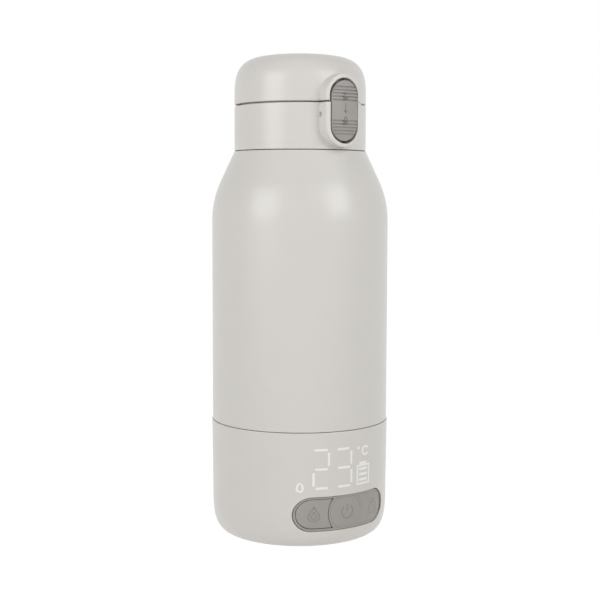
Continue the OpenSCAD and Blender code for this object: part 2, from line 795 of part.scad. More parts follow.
module cover_2d(gap) {
    r = cover_h / 2;
    end_x = cover_w / 2 - r;
    translate([-end_x, port_z]) circle(r = r + gap);
    bead = gap > 0 ? cover_bead_r + gap + cover_room : 0;
    translate([-end_x, port_z - r - gap]) square([cover_hinge_x + end_x + bead, cover_h + 2 * gap]);
}
module port_cover() color("DarkGray") {
    base_rear() {
        intersection() {
            to_front(base_low_r - 8, far) cover_2d(0);
            base_skin(0.08, 1.3);
            slab(-far, cover_hinge_x, -far, far, 0, 100);
        }
        translate([cover_hinge_x, -port_skin_r + 0.35, port_z - 2.2]) cylinder(h = 4.4, r = cover_bead_r);
    }
}
module control_board() color("SeaGreen") {
    base_frame()
        slab(-control_half, control_half, -board_face, -board_face + 1.4,
             max(pad_mid_z - pad_h / 2, board_top + run_gap), heater_tray_z - run_gap);
}
module ribbon_cable() color("White") {
    y = -board_face + 1.45;
    base_frame() {
        slab(-5, 5, y, y + 0.4, board_top + 0.1, pad_mid_z - 1);
        slab(-5, 5, y, -19, board_top + 0.1, board_top + 0.5);
    }
}
module heater_leads() color("Firebrick") {
    base_frame()
        for (s = [-1, 1]) translate([s * lead[0], lead[1], 0]) disc(0.8, board_top + 0.05, clamp_z - 0.1);
}
module light_guide() color("White") {
    z0 = pad_mid_z + pad_h / 2 + 2;
    z1 = heater_tray_z - run_gap;
    base_frame() difference() {
        intersection() {
            to_front(guide_back, far) translate([-guide_w / 2, z0]) square([guide_w, z1 - z0]);
            base_solid(base_wall + 0.15, housing_top);
        }
        intersection() {
            to_front(guide_back - 1, far) cells_2d();
            base_solid(base_wall + 1.2, housing_top);
        }
    }
}
module button_switches() color("DimGray") {
    base_frame() for (x = [-side_switch_x, 0, side_switch_x]) {
        slab(x - switch_half, x + switch_half, -board_face - 1.1, -board_face - 0.05,
             pad_mid_z - switch_half, pad_mid_z + switch_half);
        translate([x, 0, pad_mid_z]) rotate([90, 0, 0])
            translate([0, 0, board_face + 1]) cylinder(h = 0.4, r = 1.1);
    }
}

// Base: lit display
module segment(name, x) {
    hw = digit_w / 2;
    hh = digit_h / 2;
    across = digit_w - 0.9;
    upright = hh - 1.6;
    mid = name == "a" ? [x, hh] : name == "d" ? [x, -hh] : name == "g" ? [x, 0]
        : name == "b" ? [x + hw, hh / 2] : name == "c" ? [x + hw, -hh / 2]
        : name == "e" ? [x - hw, -hh / 2] : [x - hw, hh / 2];
    size = (name == "a" || name == "d" || name == "g") ? [across, stroke] : [stroke, upright];
    translate([mid[0], digit_mid_z + mid[1]]) square(size, center = true);
}
module digits_2d(first, second) {
    for (s = first) segment(s, digit_x[0]);
    for (s = second) segment(s, digit_x[1]);
}
module battery_2d() {
    z0 = digit_mid_z - 8.1;
    difference() {
        translate([4.6, z0]) square([6.8, 8.3]);
        translate([5.4, z0 + 0.8]) square([5.2, 6.7]);
    }
    translate([6.2, z0 + 8.75]) square([3.7, 0.9]);
    for (k = [0:2]) translate([6, z0 + 1.5 + 2.2 * k]) square([4, 0.9]);
}
module degree_2d() {
    translate([5.35, digit_mid_z + 7.1]) circle(r = 0.8);
    difference() {
        translate([9, digit_mid_z + 5.5]) circle(r = 1.9);
        translate([9, digit_mid_z + 5.5]) circle(r = 1.1);
        translate([9.5, digit_mid_z + 4.7]) square([3, 1.6]);
    }
}
module drop_2d() {
    translate([-19.5, digit_mid_z - 8.1]) {
        circle(r = 1.25);
        polygon([[-1.15, 0.5], [1.15, 0.5], [0, 2.8]]);
    }
}
module lit_2d() {
    digits_2d("abged", "abgcd");
    battery_2d();
    degree_2d();
    drop_2d();
}
module cells_2d() {
    digits_2d("abcdefg", "abcdefg");
    translate([4.1, digit_mid_z - 8.4]) square([7.8, 10.6]);
    translate([4.1, digit_mid_z + 3.2]) square([7.2, 5]);
}
module display_segments() color("White") {
    base_frame() intersection() {
        to_front(base_low_r - 14, far) lit_2d();
        base_skin(0, inlay_depth);
    }
}

// Base: button pad
module side_2d(gap) {
    inner_h = pad_h - 2 * pad_rim - 2 * gap;
    inner_w = pad_w - 2 * pad_rim - 2 * gap;
    difference() {
        lying_stadium(inner_w, inner_h, pad_mid_z);
        translate([0, pad_mid_z]) circle(r = power_r + web + gap);
        translate([0, pad_mid_z - pad_h]) square([pad_w, 2 * pad_h]);
    }
}
module power_2d(gap) {
    intersection() {
        translate([0, pad_mid_z]) circle(r = power_r - gap);
        translate([0, pad_mid_z]) square([pad_w, pad_h - 2 * pad_rim - 2 * gap], center = true);
    }
}
module button_bezel() color("DarkGray") {
    base_frame() difference() {
        union() {
            intersection() {
                to_front(base_low_r - 14, far)
                    lying_stadium(pad_w - fit_gap, pad_h - fit_gap, pad_mid_z);
                base_skin(pad_recess, bezel_back);
            }
            intersection() {
                to_front(base_low_r - 14, far) lying_stadium(pad_w + 2, pad_h + 2, pad_mid_z);
                base_skin(base_wall + 0.05, bezel_back);
            }
        }
        to_front(base_low_r - 14, far) power_2d(0);
        to_front(base_low_r - 14, far) side_2d(0);
        mirror([1, 0, 0]) to_front(base_low_r - 14, far) side_2d(0);
    }
}
// A button: the key through the bezel, the flange behind it, and the stem in front of its switch
module side_button() {
    intersection() {
        to_front(base_low_r - 14, far) side_2d(button_gap);
        base_skin(pad_recess - 0.15, flange_back);
    }
    intersection() {
        to_front(base_low_r - 14, far) side_2d(-0.3);
        base_skin(flange_front, flange_back);
    }
    button_stem(-side_switch_x);
}
module button_stem(x) {
    intersection() {
        translate([x, 0, pad_mid_z]) rotate([90, 0, 0])
            translate([0, 0, stem_end]) cylinder(h = 8, r = 1.6);
        base_solid(flange_front + 0.3, housing_top);
    }
}
module water_button() color("Gray") {
    base_frame() side_button();
}
module bottle_button() color("Gray") {
    base_frame() mirror([1, 0, 0]) side_button();
}
module power_button() color("Gray") {
    base_frame() {
        intersection() {
            to_front(base_low_r - 14, far) power_2d(button_gap);
            base_skin(pad_recess - 0.15, flange_back);
        }
        intersection() {
            to_front(base_low_r - 14, far) power_2d(-0.3);
            base_skin(flange_front, flange_back);
        }
        button_stem(0);
    }
}

cap_shell();
cap_liner();
cap_seal();
collar_shell();
spout_insert();
neck_gasket();
hinge_pin();
lid_spring();
latch_lever();
latch_slider();
latch_pin();
latch_spring();
bottle_shell();
inner_vessel();
jacket_ring();
heater_tray();
base_seal();
insulation_pad();
heater_clamp();
heater_film();
heat_spreader();
temperature_sensor();
thermal_fuse();
base_housing();
bottom_cover();
cover_screws();
foot_ring();
battery_tray();
battery_cells();
board_screws();
main_board();
charging_port();
port_cover();
control_board();
light_guide();
display_segments();
button_switches();
button_bezel();
water_button();
power_button();
bottle_button();
heater_leads();
ribbon_cable();
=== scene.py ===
# %% [markdown]
# This lesson dresses a flask-type baby bottle warmer: a painted steel bottle on a battery base, under a lid
# with a flip cap. The CAD solids come in first as a frame that already knows how its pieces move. The
# shells that the eye rests on are then drawn again here, with soft edges, moulded marks and real finishes.

import json
import math

import bmesh
import bpy
from mathutils import Matrix, Vector

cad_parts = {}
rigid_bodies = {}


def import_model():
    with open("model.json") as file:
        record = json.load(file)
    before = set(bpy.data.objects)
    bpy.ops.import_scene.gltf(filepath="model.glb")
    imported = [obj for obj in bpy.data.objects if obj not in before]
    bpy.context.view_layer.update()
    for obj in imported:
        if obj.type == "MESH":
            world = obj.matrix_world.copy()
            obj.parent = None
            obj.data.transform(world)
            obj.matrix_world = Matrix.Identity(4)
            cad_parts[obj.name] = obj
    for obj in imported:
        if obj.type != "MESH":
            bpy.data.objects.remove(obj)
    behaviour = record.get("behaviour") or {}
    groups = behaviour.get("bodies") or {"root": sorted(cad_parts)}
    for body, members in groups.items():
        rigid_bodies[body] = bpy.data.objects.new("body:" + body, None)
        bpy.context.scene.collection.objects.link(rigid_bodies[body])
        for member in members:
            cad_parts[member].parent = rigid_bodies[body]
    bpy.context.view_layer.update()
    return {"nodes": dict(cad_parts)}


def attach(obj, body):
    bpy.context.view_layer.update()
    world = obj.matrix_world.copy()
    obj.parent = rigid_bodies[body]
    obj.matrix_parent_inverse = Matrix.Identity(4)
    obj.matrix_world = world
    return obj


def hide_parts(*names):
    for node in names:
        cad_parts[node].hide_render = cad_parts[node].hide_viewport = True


for leftover in list(bpy.data.objects):
    bpy.data.objects.remove(leftover)
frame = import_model()

# %% [markdown]
# Paint and moulded plastic are never one flat colour. Image textures could carry the small changes, but
# they need unwrapped faces and a file. A node tree works on any mesh: a broad noise drifts the colour, a
# second one drifts the gloss, and a fine one lifts the skin into the faint grain of a satin coat.

# %% Grained finishes
finishes = {}
patch_mm = 9
gloss_mm = 2.5
gloss_spread = 0.015
grain_strength = 0.6
noise_low = 0.3
noise_high = 0.7


def fill(node, values):
    for socket, value in values.items():
        node.inputs[socket].default_value = value


def noise(tree, size_mm, detail, stretch=(1, 1, 1)):
    place = tree.nodes.new("ShaderNodeTexCoord")
    scale = tree.nodes.new("ShaderNodeMapping")
    fill(scale, {"Scale": stretch})
    texture = tree.nodes.new("ShaderNodeTexNoise")
    fill(texture, {"Scale": 1000 / size_mm, "Detail": detail})
    tree.links.new(place.outputs["Object"], scale.inputs["Vector"])
    tree.links.new(scale.outputs["Vector"], texture.inputs["Vector"])
    return texture.outputs["Fac"]


def spread(tree, source, low, high):
    span = tree.nodes.new("ShaderNodeMapRange")
    fill(span, {"From Min": noise_low, "From Max": noise_high, "To Min": low, "To Max": high})
    tree.links.new(source, span.inputs["Value"])
    return span.outputs["Result"]


def grained(slot, colour, rough, grain_mm=0.3, grain_um=4, drift=0.015, stretch=(1, 1, 1)):
    material = bpy.data.materials.new(slot + "_finish")
    material.use_nodes = True
    tree = material.node_tree
    shader = tree.nodes["Principled BSDF"]
    tint = tree.nodes.new("ShaderNodeMix")
    tint.data_type = "RGBA"
    tint.inputs["A"].default_value = [c * (1 - drift) for c in colour] + [1]
    tint.inputs["B"].default_value = [min(1, c * (1 + drift)) for c in colour] + [1]
    tree.links.new(spread(tree, noise(tree, patch_mm, 3), 0, 1), tint.inputs["Factor"])
    tree.links.new(tint.outputs["Result"], shader.inputs["Base Color"])
    streaks = noise(tree, gloss_mm, 2, stretch)
    gloss = spread(tree, streaks, rough - gloss_spread, rough + gloss_spread)
    tree.links.new(gloss, shader.inputs["Roughness"])
    bump = tree.nodes.new("ShaderNodeBump")
    fill(bump, {"Strength": grain_strength, "Distance": grain_um * 1e-6})
    tree.links.new(noise(tree, grain_mm, 2, stretch), bump.inputs["Height"])
    tree.links.new(bump.outputs["Normal"], shader.inputs["Normal"])
    finishes[slot] = material
    return shader


for slot, colour in (
    ("body_coat", (0.631, 0.612, 0.580)),
    ("base_plastic", (0.632, 0.612, 0.580)),
    ("lid_plastic", (0.637, 0.617, 0.585)),
):
    grained(slot, colour, rough=0.31, grain_mm=0.3, grain_um=1.2, drift=0.006)
for slot, colour, rough, grain_mm, grain_um, drift in (
    ("latch_grey", (0.317, 0.297, 0.280), 0.45, 0.25, 6, 0.03),
    ("pad_grey", (0.335, 0.318, 0.298), 0.50, 0.25, 6, 0.03),
    ("button_grey", (0.325, 0.308, 0.290), 0.50, 0.25, 6, 0.03),
    ("white_plastic", (0.80, 0.79, 0.77), 0.38, 0.3, 4, 0.015),
    ("grey_silicone", (0.36, 0.345, 0.325), 0.60, 0.2, 6, 0.03),
    ("foot_rubber", (0.20, 0.195, 0.19), 0.70, 0.25, 10, 0.05),
    ("black_rubber", (0.02, 0.02, 0.02), 0.65, 0.25, 8, 0.1),
    ("black_plastic", (0.03, 0.03, 0.032), 0.50, 0.25, 6, 0.08),
    ("board", (0.02, 0.13, 0.06), 0.40, 0.8, 8, 0.2),
    ("heater_film", (0.50, 0.24, 0.04), 0.35, 0.8, 6, 0.1),
    ("sensor", (0.10, 0.16, 0.30), 0.45, 0.4, 6, 0.08),
    ("felt", (0.72, 0.69, 0.62), 0.95, 0.5, 60, 0.06),
    ("lead", (0.45, 0.04, 0.03), 0.45, 0.4, 5, 0.05),
):
    grained(slot, colour, rough, grain_mm, grain_um, drift)
print("grained finishes:", len(finishes))

# %% [markdown]
# Metal needs one change more: sheet steel is brushed or rolled, so its grain is long in one direction. The
# same noises are squeezed along one axis to draw such lines. Silicone lets some light through, and the
# signs of the display shine by themselves, so each of these gets its own sockets set on the shader. The
# mark finishes are painted shade: a darker colour that stands in for the shadow in the grooves of engraved
# signs.

# %% Metal, silicone, light and painted shade
for slot, colour, rough, stretch in (
    ("steel", (0.62, 0.61, 0.59), 0.24, (1, 1, 14)),
    ("screw_steel", (0.55, 0.54, 0.53), 0.28, (6, 1, 1)),
    ("aluminium", (0.74, 0.74, 0.74), 0.32, (8, 1, 1)),
    ("cell_foil", (0.60, 0.61, 0.63), 0.30, (4, 1, 1)),
):
    shader = grained(slot, colour, rough, grain_mm=0.5, drift=0.03, stretch=stretch)
    fill(shader, {"Metallic": 1})

shader = grained("clear_silicone", (0.86, 0.86, 0.84), rough=0.35)
fill(shader, {"Transmission Weight": 0.25, "IOR": 1.41})

shader = grained("lit", (0.775, 0.755, 0.72), rough=0.45, grain_um=3)
fill(shader, {"Emission Color": (1.0, 0.975, 0.93, 1), "Emission Strength": 0.06})

# Painted shade: these darker finishes stand in for the shadow in the engraved grooves of the signs.
for slot, colour in (
    ("mark", (0.266, 0.252, 0.238)),
    ("faint_engraving_shade", (0.287, 0.272, 0.256)),
    ("lock_engraving_shade", (0.15, 0.141, 0.133)),
):
    grained(slot, colour, rough=0.60, grain_mm=0.25, grain_um=5, drift=0.03)
print("all finishes:", len(finishes))

# %% [markdown]
# Every solid of the frame takes the finish of its slot, so that what is hidden at rest, such as the spout
# under the cap or the screws under the base, is dressed too. The frame names each material after its slot.

# %% Dress the CAD solids
for node in frame["nodes"].values():
    slot = node.data.materials[0].name.split(".")[0]
    node.data.materials[0] = finishes[slot]
print("dressed solids:", len(frame["nodes"]))

# %% [markdown]
# Pieces are drawn in millimetres with bmesh, which builds a mesh vertex by vertex. This helper turns such
# a drawing into an object in metres, shades it smooth except along real creases, ties it to the body
# that it moves with, and hides the solid that it stands for.

# %% From drawing to piece
shortest_edge = 1e-4
crease = 40


def add_piece(drawing, name, body, slot, stands_for=(), turn=0.0, finish=None):
    bmesh.ops.dissolve_degenerate(drawing, dist=shortest_edge, edges=drawing.edges[:])
    drawing.transform(Matrix.Rotation(turn, 4, "Z"))
    drawing.transform(Matrix.Scale(0.001, 4))
    mesh = bpy.data.meshes.new(name)
    drawing.to_mesh(mesh)
    drawing.free()
    mesh.shade_smooth()
    mesh.set_sharp_from_angle(angle=math.radians(crease))
    mesh.materials.append(finishes[finish or slot])
    piece = bpy.data.objects.new(name, mesh)
    bpy.context.scene.collection.objects.link(piece)
    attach(piece, body)
    if stands_for:
        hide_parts(*stands_for)
    print(name, "has", len(mesh.polygons), "faces")


print("edges stay sharp from", crease, "degrees")

# %% [markdown]
# Most shells here are turned, so a profile of radius and height goes round the axis. Hard corners in a
# profile never look real, because every moulded edge has a small radius that catches light. The path
# helper swaps a corner for a short curve, and adds a point on each side that keeps the shading flat there.

# %% Profiles and turned shells
COLUMNS = 192
flank = 0.4


def softened(corners, steps=5):
    path = []
    for index, (a, b, radius) in enumerate(corners):
        here = Vector((a, b))
        if radius == 0:
            path.append(here)
            continue
        before = (Vector(corners[index - 1][:2]) - here).normalized()
        after = (Vector(corners[(index + 1) % len(corners)][:2]) - here).normalized()
        reach = radius / math.tan(before.angle(after) / 2)
        start = here + before * reach
        end = here + after * reach
        path.append(start + before * reach * flank)
        for step in range(steps + 1):
            t = step / steps
            path.append(start * (1 - t) ** 2 + here * 2 * t * (1 - t) + end * t**2)
        path.append(end + after * reach * flank)
    return [(p.x, p.y) for p in path]


def stitch(drawing, lower, upper):
    count = len(lower)
    for k in range(count):
        n = (k + 1) % count
        if len(upper) == 1:
            drawing.faces.new((lower[k], lower[n], upper[0]))
        else:
            drawing.faces.new((lower[k], lower[n], upper[n], upper[k]))


def lathe(drawing, profile, closed=False):
    turns = [2 * math.pi * k / COLUMNS for k in range(COLUMNS)]
    rows = []
    for r, z in profile:
        angles = turns if r > 0 else [0.0]
        rows.append([drawing.verts.new((r * math.sin(a), -r * math.cos(a), z)) for a in angles])
    for lower, upper in zip(rows, rows[1:] + rows[:1] if closed else rows[1:]):
        if len(lower) == 1:
            for k in range(COLUMNS):
                drawing.faces.new((upper[k], lower[0], upper[(k + 1) % COLUMNS]))
        else:
            stitch(drawing, lower, upper)
    return rows


print("columns of a turned shell:", COLUMNS)

# %% [markdown]
# The bottle shell is one drawn steel sheet: a straight barrel, a long soft bend into the shoulder cone, a
# flat ledge under the collar and a threaded neck. Turning one profile keeps the bend perfectly round. The
# lower edge is rolled in, which gives the thin bright line above the seam of the base. The profile comes
# back down inside, one thickness of the sheet away, so that the shell is closed as the real one is.

# %% Bottle shell
body_r = 37.0
sheet = 0.7
lid_r = 27.5
shell_z0 = 48.80
ledge_z = 161.25
neck_r = 21.4
neck_top = 174.05
rolled_z = 52
barrel_z = 55
ledge_r = lid_r + 0.1
bend_r = 39.4
bend = math.radians(25)
cone_run = body_r - bend_r * (1 - math.cos(bend)) - ledge_r
bend_z = ledge_z - bend_r * math.sin(bend) - cone_run / math.tan(bend)
bend_steps = [bend * k / 24 for k in range(25)]
cone_start = (body_r - bend_r + bend_r * math.cos(bend), bend_z + bend_r * math.sin(bend))

profile = softened([(body_r - sheet, rolled_z, 0), (body_r - sheet, shell_z0, 0.3),
                    (body_r, shell_z0, 0.22), (body_r, barrel_z, 0)])
profile += [(body_r, z) for z in range(60, 132, 6)]
profile += [(body_r - bend_r + bend_r * math.cos(a), bend_z + bend_r * math.sin(a)) for a in bend_steps]
profile += softened([(*cone_start, 0), (ledge_r, ledge_z, 0.3), (neck_r, ledge_z, 0.4),
                     (neck_r, neck_top, 0.3), (neck_r - sheet, neck_top, 0)])[1:]
under_z = ledge_z - sheet
inner_r = bend_r - sheet
cone_end = (body_r - bend_r + inner_r * math.cos(bend), bend_z + inner_r * math.sin(bend))
under_r = cone_end[0] - (under_z - cone_end[1]) * math.tan(bend)
profile += [(neck_r - sheet, under_z), (under_r, under_z)]
profile += [(body_r - bend_r + inner_r * math.cos(a), bend_z + inner_r * math.sin(a))
            for a in reversed(bend_steps)]
shell = bmesh.new()
lathe(shell, profile, closed=True)
print("shoulder bend starts at", round(bend_z, 2), "mm")

# %% [markdown]
# The thread is a ridge that climbs round the neck. A Screw modifier could sweep it, but sweeping its
# section along a helix by hand also lets the ridge fade in and out at its ends, as a rolled thread does.

# %% Neck thread
thread_z = 165.05
thread_pitch = 4.0
thread_turns = 1.7
thread_steps = 160
thread_fade = 16
thread_high = 1.2
foot_half = 1.2
flank_half = 0.55
crest_half = 0.4
crest_soft = 0.12
previous = None
for step in range(thread_steps + 1):
    share = step / thread_steps
    angle = 2 * math.pi * thread_turns * share
    fade = min(1, share * thread_fade, (1 - share) * thread_fade)
    tip = neck_r - 0.1 + thread_high * math.sin(fade * math.pi / 2)
    section = [(neck_r - 0.2, -foot_half), (tip - crest_soft, -flank_half), (tip, -crest_half)]
    section += [(r, -dz) for r, dz in reversed(section)]
    height = thread_z + thread_pitch * thread_turns * share
    ring = [shell.verts.new((r * math.cos(angle), r * math.sin(angle), height + dz)) for r, dz in section]
    if previous:
        for k in range(len(ring) - 1):
            shell.faces.new((previous[k], ring[k], ring[k + 1], previous[k + 1]))
    previous = ring
add_piece(shell, "bottle_skin", "bottle", "body_coat", ["bottle_shell"])

# %% [markdown]
# The base is a moulded cup with a wide, squarish bottom corner. A plain fillet looks too round for it, so
# its corner is a superellipse, whose power sets how square it is. The same formula later lays the keys
# and the lit signs on the face, so it is kept as a function of height.

# %% Face of the base
base_turn = math.radians(-3.2)
base_top_r = 37.3
base_low_r = 36.98
housing_z0 = 0.6
housing_top = 48.60
corner_reach = 11.2
corner_rise = 19.8
corner_power = 3.65
flat_r = base_low_r - corner_reach
corner_z = housing_z0 + corner_rise
probe = 0.05


def base_radius(z):
    if z >= corner_z:
        return base_low_r + (base_top_r - base_low_r) * (z - corner_z) / (housing_top - corner_z)
    drop = (corner_z - z) / corner_rise
    return flat_r + corner_reach * (1 - drop**corner_power) ** (1 / corner_power)


def on_base(x, z, lift=0.0):
    r = base_radius(z)
    slope = (base_radius(z + probe) - base_radius(z - probe)) / (2 * probe)
    point = Vector((x, -math.sqrt(r * r - x * x), z))
    normal = Vector((point.x / r, point.y / r, -slope)).normalized()
    return point + normal * lift


print("the wall of the base is straight from", round(corner_z, 2), "mm up")

# %% [markdown]
# Openings in a turned face could be cut with a Boolean modifier, but that leaves ragged faces and no room
# for a rounded edge. Here a rectangle of faces is taken out, and loops of new vertices run from its border
# to the nearest points of the opening's outline, then over the edge and inwards. All faces stay four-sided.

# %% Openings with rounded edges
def arc(cx, cz, r, start, end, steps=18):
    turns = [math.radians(start + (end - start) * k / steps) for k in range(steps + 1)]
    return [(cx + r * math.cos(a), cz + r * math.sin(a)) for a in turns]


def stadium(width, height, mid_z):
    r = height / 2
    right = arc(width / 2 - r, mid_z, r, -90, 90, 20)
    return right + [(-x, 2 * mid_z - z) for x, z in right]


def nearest(outline, x, z):
    here = Vector((x, z))
    best = None
    for index, start in enumerate(outline):
        a = Vector(start)
        along = Vector(outline[(index + 1) % len(outline)]) - a
        share = max(0, min(1, (here - a).dot(along) / max(along.length_squared, 1e-9)))
        spot = a + along * share
        if best is None or (here - spot).length < (here - best).length:
            best = spot
    return best, (here - best).normalized()


def open_up(drawing, rows, low, high, half, loops):
    border = [rows[low][k] for k in range(-half, half)]
    border += [rows[i][half] for i in range(low, high)]
    border += [rows[high][k] for k in range(half, -half, -1)]
    border += [rows[i][-half] for i in range(high, low, -1)]
    inside = [rows[i][k] for i in range(low + 1, high) for k in range(-half + 1, half)]
    spots = [(vert.co.x, vert.co.z) for vert in border]
    bmesh.ops.delete(drawing, geom=inside, context="VERTS")
    outer = border
    for outline, share, offset, lift, push in loops:
        inner = []
        for x, z in spots:
            spot, away = nearest(outline, x, z)
            goal = (spot + away * offset) * share + Vector((x, z)) * (1 - share)
            inner.append(drawing.verts.new(on_base(goal.x, goal.y, lift) + Vector((0, push, 0))))
        stitch(drawing, outer, inner)
        outer = inner


def rounded_lip(outline, radius, depth):
    loops = [(outline, share, radius * 2, 0, 0) for share in (0.3, 0.6, 0.85, 1)]
    for degrees in (0, 18, 36, 54, 72, 90):
        a = math.radians(degrees)
        loops.append((outline, 1, radius * (1 - math.sin(a)), -radius * (1 - math.cos(a)), 0))
    loops.append((outline, 1, 0, -radius, depth))
    return loops


print("loops of a rounded lip:", len(rounded_lip([], 1, 1)))

# %% [markdown]
# The base skin carries two openings: the lying oval of the key pad in front, and behind it the small recess
# of the charging socket. For the second one the drawing is turned half round, so that the same helper,
# which always works towards the front, can be used again.

# %% Base skin
pad_z = 15.3
pad_w = 44.0
pad_h = 14.4
pad_lip = 0.12
pad_deep = 2.2
pad_columns = 22
port_z = 9.95
cover_hole_r = 24.38
cover_seat_z = 2.8
top_bore_r = 34.9
corner_end = math.radians(34)
corner_steps = 20
grid_top = 25
grid_steps = 19

bottom = [math.pi / 2 - (math.pi / 2 - corner_end) * k / corner_steps for k in range(corner_steps + 1)]
profile = softened([(22, 3.2, 0), (cover_hole_r, cover_seat_z, 0), (cover_hole_r, housing_z0, 0.3),
                    (flat_r, housing_z0, 0)])[:-1]
for a in bottom:
    reach = corner_reach * math.cos(a) ** (2 / corner_power)
    profile.append((flat_r + reach, corner_z - corner_rise * math.sin(a) ** (2 / corner_power)))
low_z = profile[-1][1]
first_row = len(profile) - 1
grid = [low_z + (grid_top - low_z) * k / grid_steps for k in range(1, grid_steps + 1)]
profile += [(base_radius(z), z) for z in grid]
last_row = len(profile) - 1
profile += [(base_radius(z), z) for z in (27.5, 30, 33, 36, 39, 42, 45)]
profile += softened([(base_radius(46.5), 46.5, 0), (base_top_r, housing_top, 0.25),
                     (top_bore_r, housing_top, 0.2), (top_bore_r, 46, 0)])
base = bmesh.new()
rows = lathe(base, profile)
pad_loops = rounded_lip(stadium(pad_w, pad_h, pad_z), pad_lip, pad_deep)
open_up(base, rows, first_row, last_row, pad_columns, pad_loops)
print("pad opening between rows", first_row, "and", last_row)

# %% [markdown]
# The recess of the socket is round at its free end and square at the hinge of its cover. Its floor is a
# second outline further in, and the wall of the narrow slot for the plug goes on from there.

# %% Socket recess
recess_x = 7.6
recess_half = 3.5
recess_soft = 0.5
recess_lip = 0.25
recess_deep = 1.2
recess_columns = 9
cover_end = -3.8
slot_w = 10
slot_h = 4.2
row_z0 = 4.6
row_z1 = 15.4

recess_low = port_z - recess_half
recess_high = port_z + recess_half
recess = arc(cover_end, port_z, recess_half, 90, 270, 20)
recess += softened([(0, recess_low, 0), (recess_x, recess_low, recess_soft),
                    (recess_x, recess_high, recess_soft), (0, recess_high, 0)])[1:-1]
slot_line = stadium(slot_w, slot_h, port_z)
half_turn = Matrix.Rotation(math.pi, 4, "Z")
base.transform(half_turn)
rear_rows = [row[COLUMNS // 2:] + row[:COLUMNS // 2] for row in rows]
loops = rounded_lip(recess, recess_lip, recess_deep)
loops += [(slot_line, 1, 0.3, -1.5, 0.1), (slot_line, 1, 0, -1.8, 0.1), (slot_line, 1, 0, -1.8, 2.5)]
port_low = min(range(first_row - 8, last_row), key=lambda i: abs(profile[i][1] - row_z0))
port_high = min(range(first_row, last_row), key=lambda i: abs(profile[i][1] - row_z1))
open_up(base, rear_rows, port_low, port_high, recess_columns, loops)
base.transform(half_turn)
add_piece(base, "base_skin", "bottle", "base_plastic", ["base_housing"], base_turn)

# %% [markdown]
# Keys, covers and the latch are plates with a soft rim on a curved face. Each is drawn flat first, where
# insetting its face builds the rim, and is then laid on the curve point by point. Slicing the flat face
# into strips before that gives it enough vertices to bend, or to sink into grooves. Below its rim a key's
# wall runs straight back, the way the key is pressed, so that it slides in its opening without touching.

# %% Curved plates
key_edge = 0.08


def slices(drawing, axis, places):
    normal = Vector((1, 0, 0)) if axis == "x" else Vector((0, 0, 1))
    for place in places:
        everything = drawing.verts[:] + drawing.edges[:] + drawing.faces[:]
        bmesh.ops.bisect_plane(drawing, geom=everything, dist=1e-5, plane_co=normal * place,
                               plane_no=normal)


def plate(outline, thick, rim, lay, cuts_x=(), cuts_z=(), dent=None, steps=5):
    drawing = bmesh.new()
    back = [drawing.verts.new((x, thick, z)) for x, z in outline]
    front = [drawing.verts.new((x, rim, z)) for x, z in outline]
    stitch(drawing, back, front)
    drawing.faces.new(reversed(back))
    face = drawing.faces.new(front)
    drawing.normal_update()
    for step in range(steps):
        a = math.pi / 2 * step / steps
        b = math.pi / 2 * (step + 1) / steps
        bmesh.ops.inset_individual(drawing, faces=[face], thickness=rim * (math.cos(a) - math.cos(b)),
                                   depth=rim * (math.sin(b) - math.sin(a)), use_even_offset=True)
    bmesh.ops.inset_individual(drawing, faces=[face], thickness=rim * 0.3, use_even_offset=True)
    slices(drawing, "x", cuts_x)
    slices(drawing, "z", cuts_z)
    for vert in drawing.verts:
        x, y, z = vert.co
        lift = -y
        if dent and lift > -1e-4:
            lift += dent(x, z)
        vert.co = lay(x, z, lift)
    return drawing


def joined(first, *others):
    for other in others:
        mesh = bpy.data.meshes.new("joint")
        other.to_mesh(mesh)
        other.free()
        first.from_mesh(mesh)
        bpy.data.meshes.remove(mesh)
    return first


def key_layer(sink):
    def lay(x, z, lift):
        front = on_base(x, z, max(lift, -key_edge) - sink)
        return front + Vector((0, max(0, -key_edge - lift), 0))
    return lay


print("walls of keys run straight back below", key_edge, "mm")

# %% [markdown]
# The three keys share one oval. The middle one is a barrel shape between two arcs. The side ones have a
# hollow end, whose arc is a little flatter, so that the web between the keys widens towards its ends.

# %% Keys
pad_rim = 1.0
pad_sink = 0.62
side_sink = 0.74
water_gap = 0.22
bottle_gap = 0.04
power_gap = 0.04
power_r = 7.4
web = 0.7
hollow_r = 9.7
hollow_x = hollow_r - power_r - web
hollow_steps = 8
bulge_steps = 14
water_corner = 0.5
key_corner = 0.12
key_deep = 2.4
key_rows = (11, 13, 15, 17, 19)
power_half = pad_h / 2 - pad_rim - power_gap


def filleted(outline, corners, radius):
    return softened([(x, z, radius if k in corners else 0) for k, (x, z) in enumerate(outline)], 4)


def side_line(gap, corner):
    half = pad_h / 2 - pad_rim - gap
    tilt = math.degrees(math.asin(half / (hollow_r + gap)))
    outer = arc(-(pad_w / 2 - pad_rim - gap - half), pad_z, half, 90, 270)
    hollow = arc(hollow_x, pad_z, hollow_r + gap, 180 + tilt, 180 - tilt, hollow_steps)
    return filleted(outer + hollow, (len(outer), len(outer) + hollow_steps), corner)


water_line = side_line(water_gap, water_corner)
bottle_line = [(-x, z) for x, z in reversed(side_line(bottle_gap, key_corner))]
bulge_r = power_r - power_gap
tilt = math.degrees(math.asin(power_half / bulge_r))
power_line = arc(0, pad_z, bulge_r, -tilt, tilt, bulge_steps)
power_line += arc(0, pad_z, bulge_r, 180 - tilt, 180 + tilt, bulge_steps)
power_line = filleted(power_line, (0, bulge_steps, bulge_steps + 1, 2 * bulge_steps + 1), key_corner)
strips = [k * 1.25 for k in range(-16, 17)]
for name, outline, rim, sink in (("water", water_line, 0.25, side_sink),
                                 ("power", power_line, key_edge, pad_sink),
                                 ("bottle", bottle_line, key_edge, pad_sink)):
    key = plate(outline, key_deep, rim, key_layer(sink), strips, key_rows)
    add_piece(key, name + "_key_cap", name + "_key", "button_grey", [name + "_button"], base_turn)

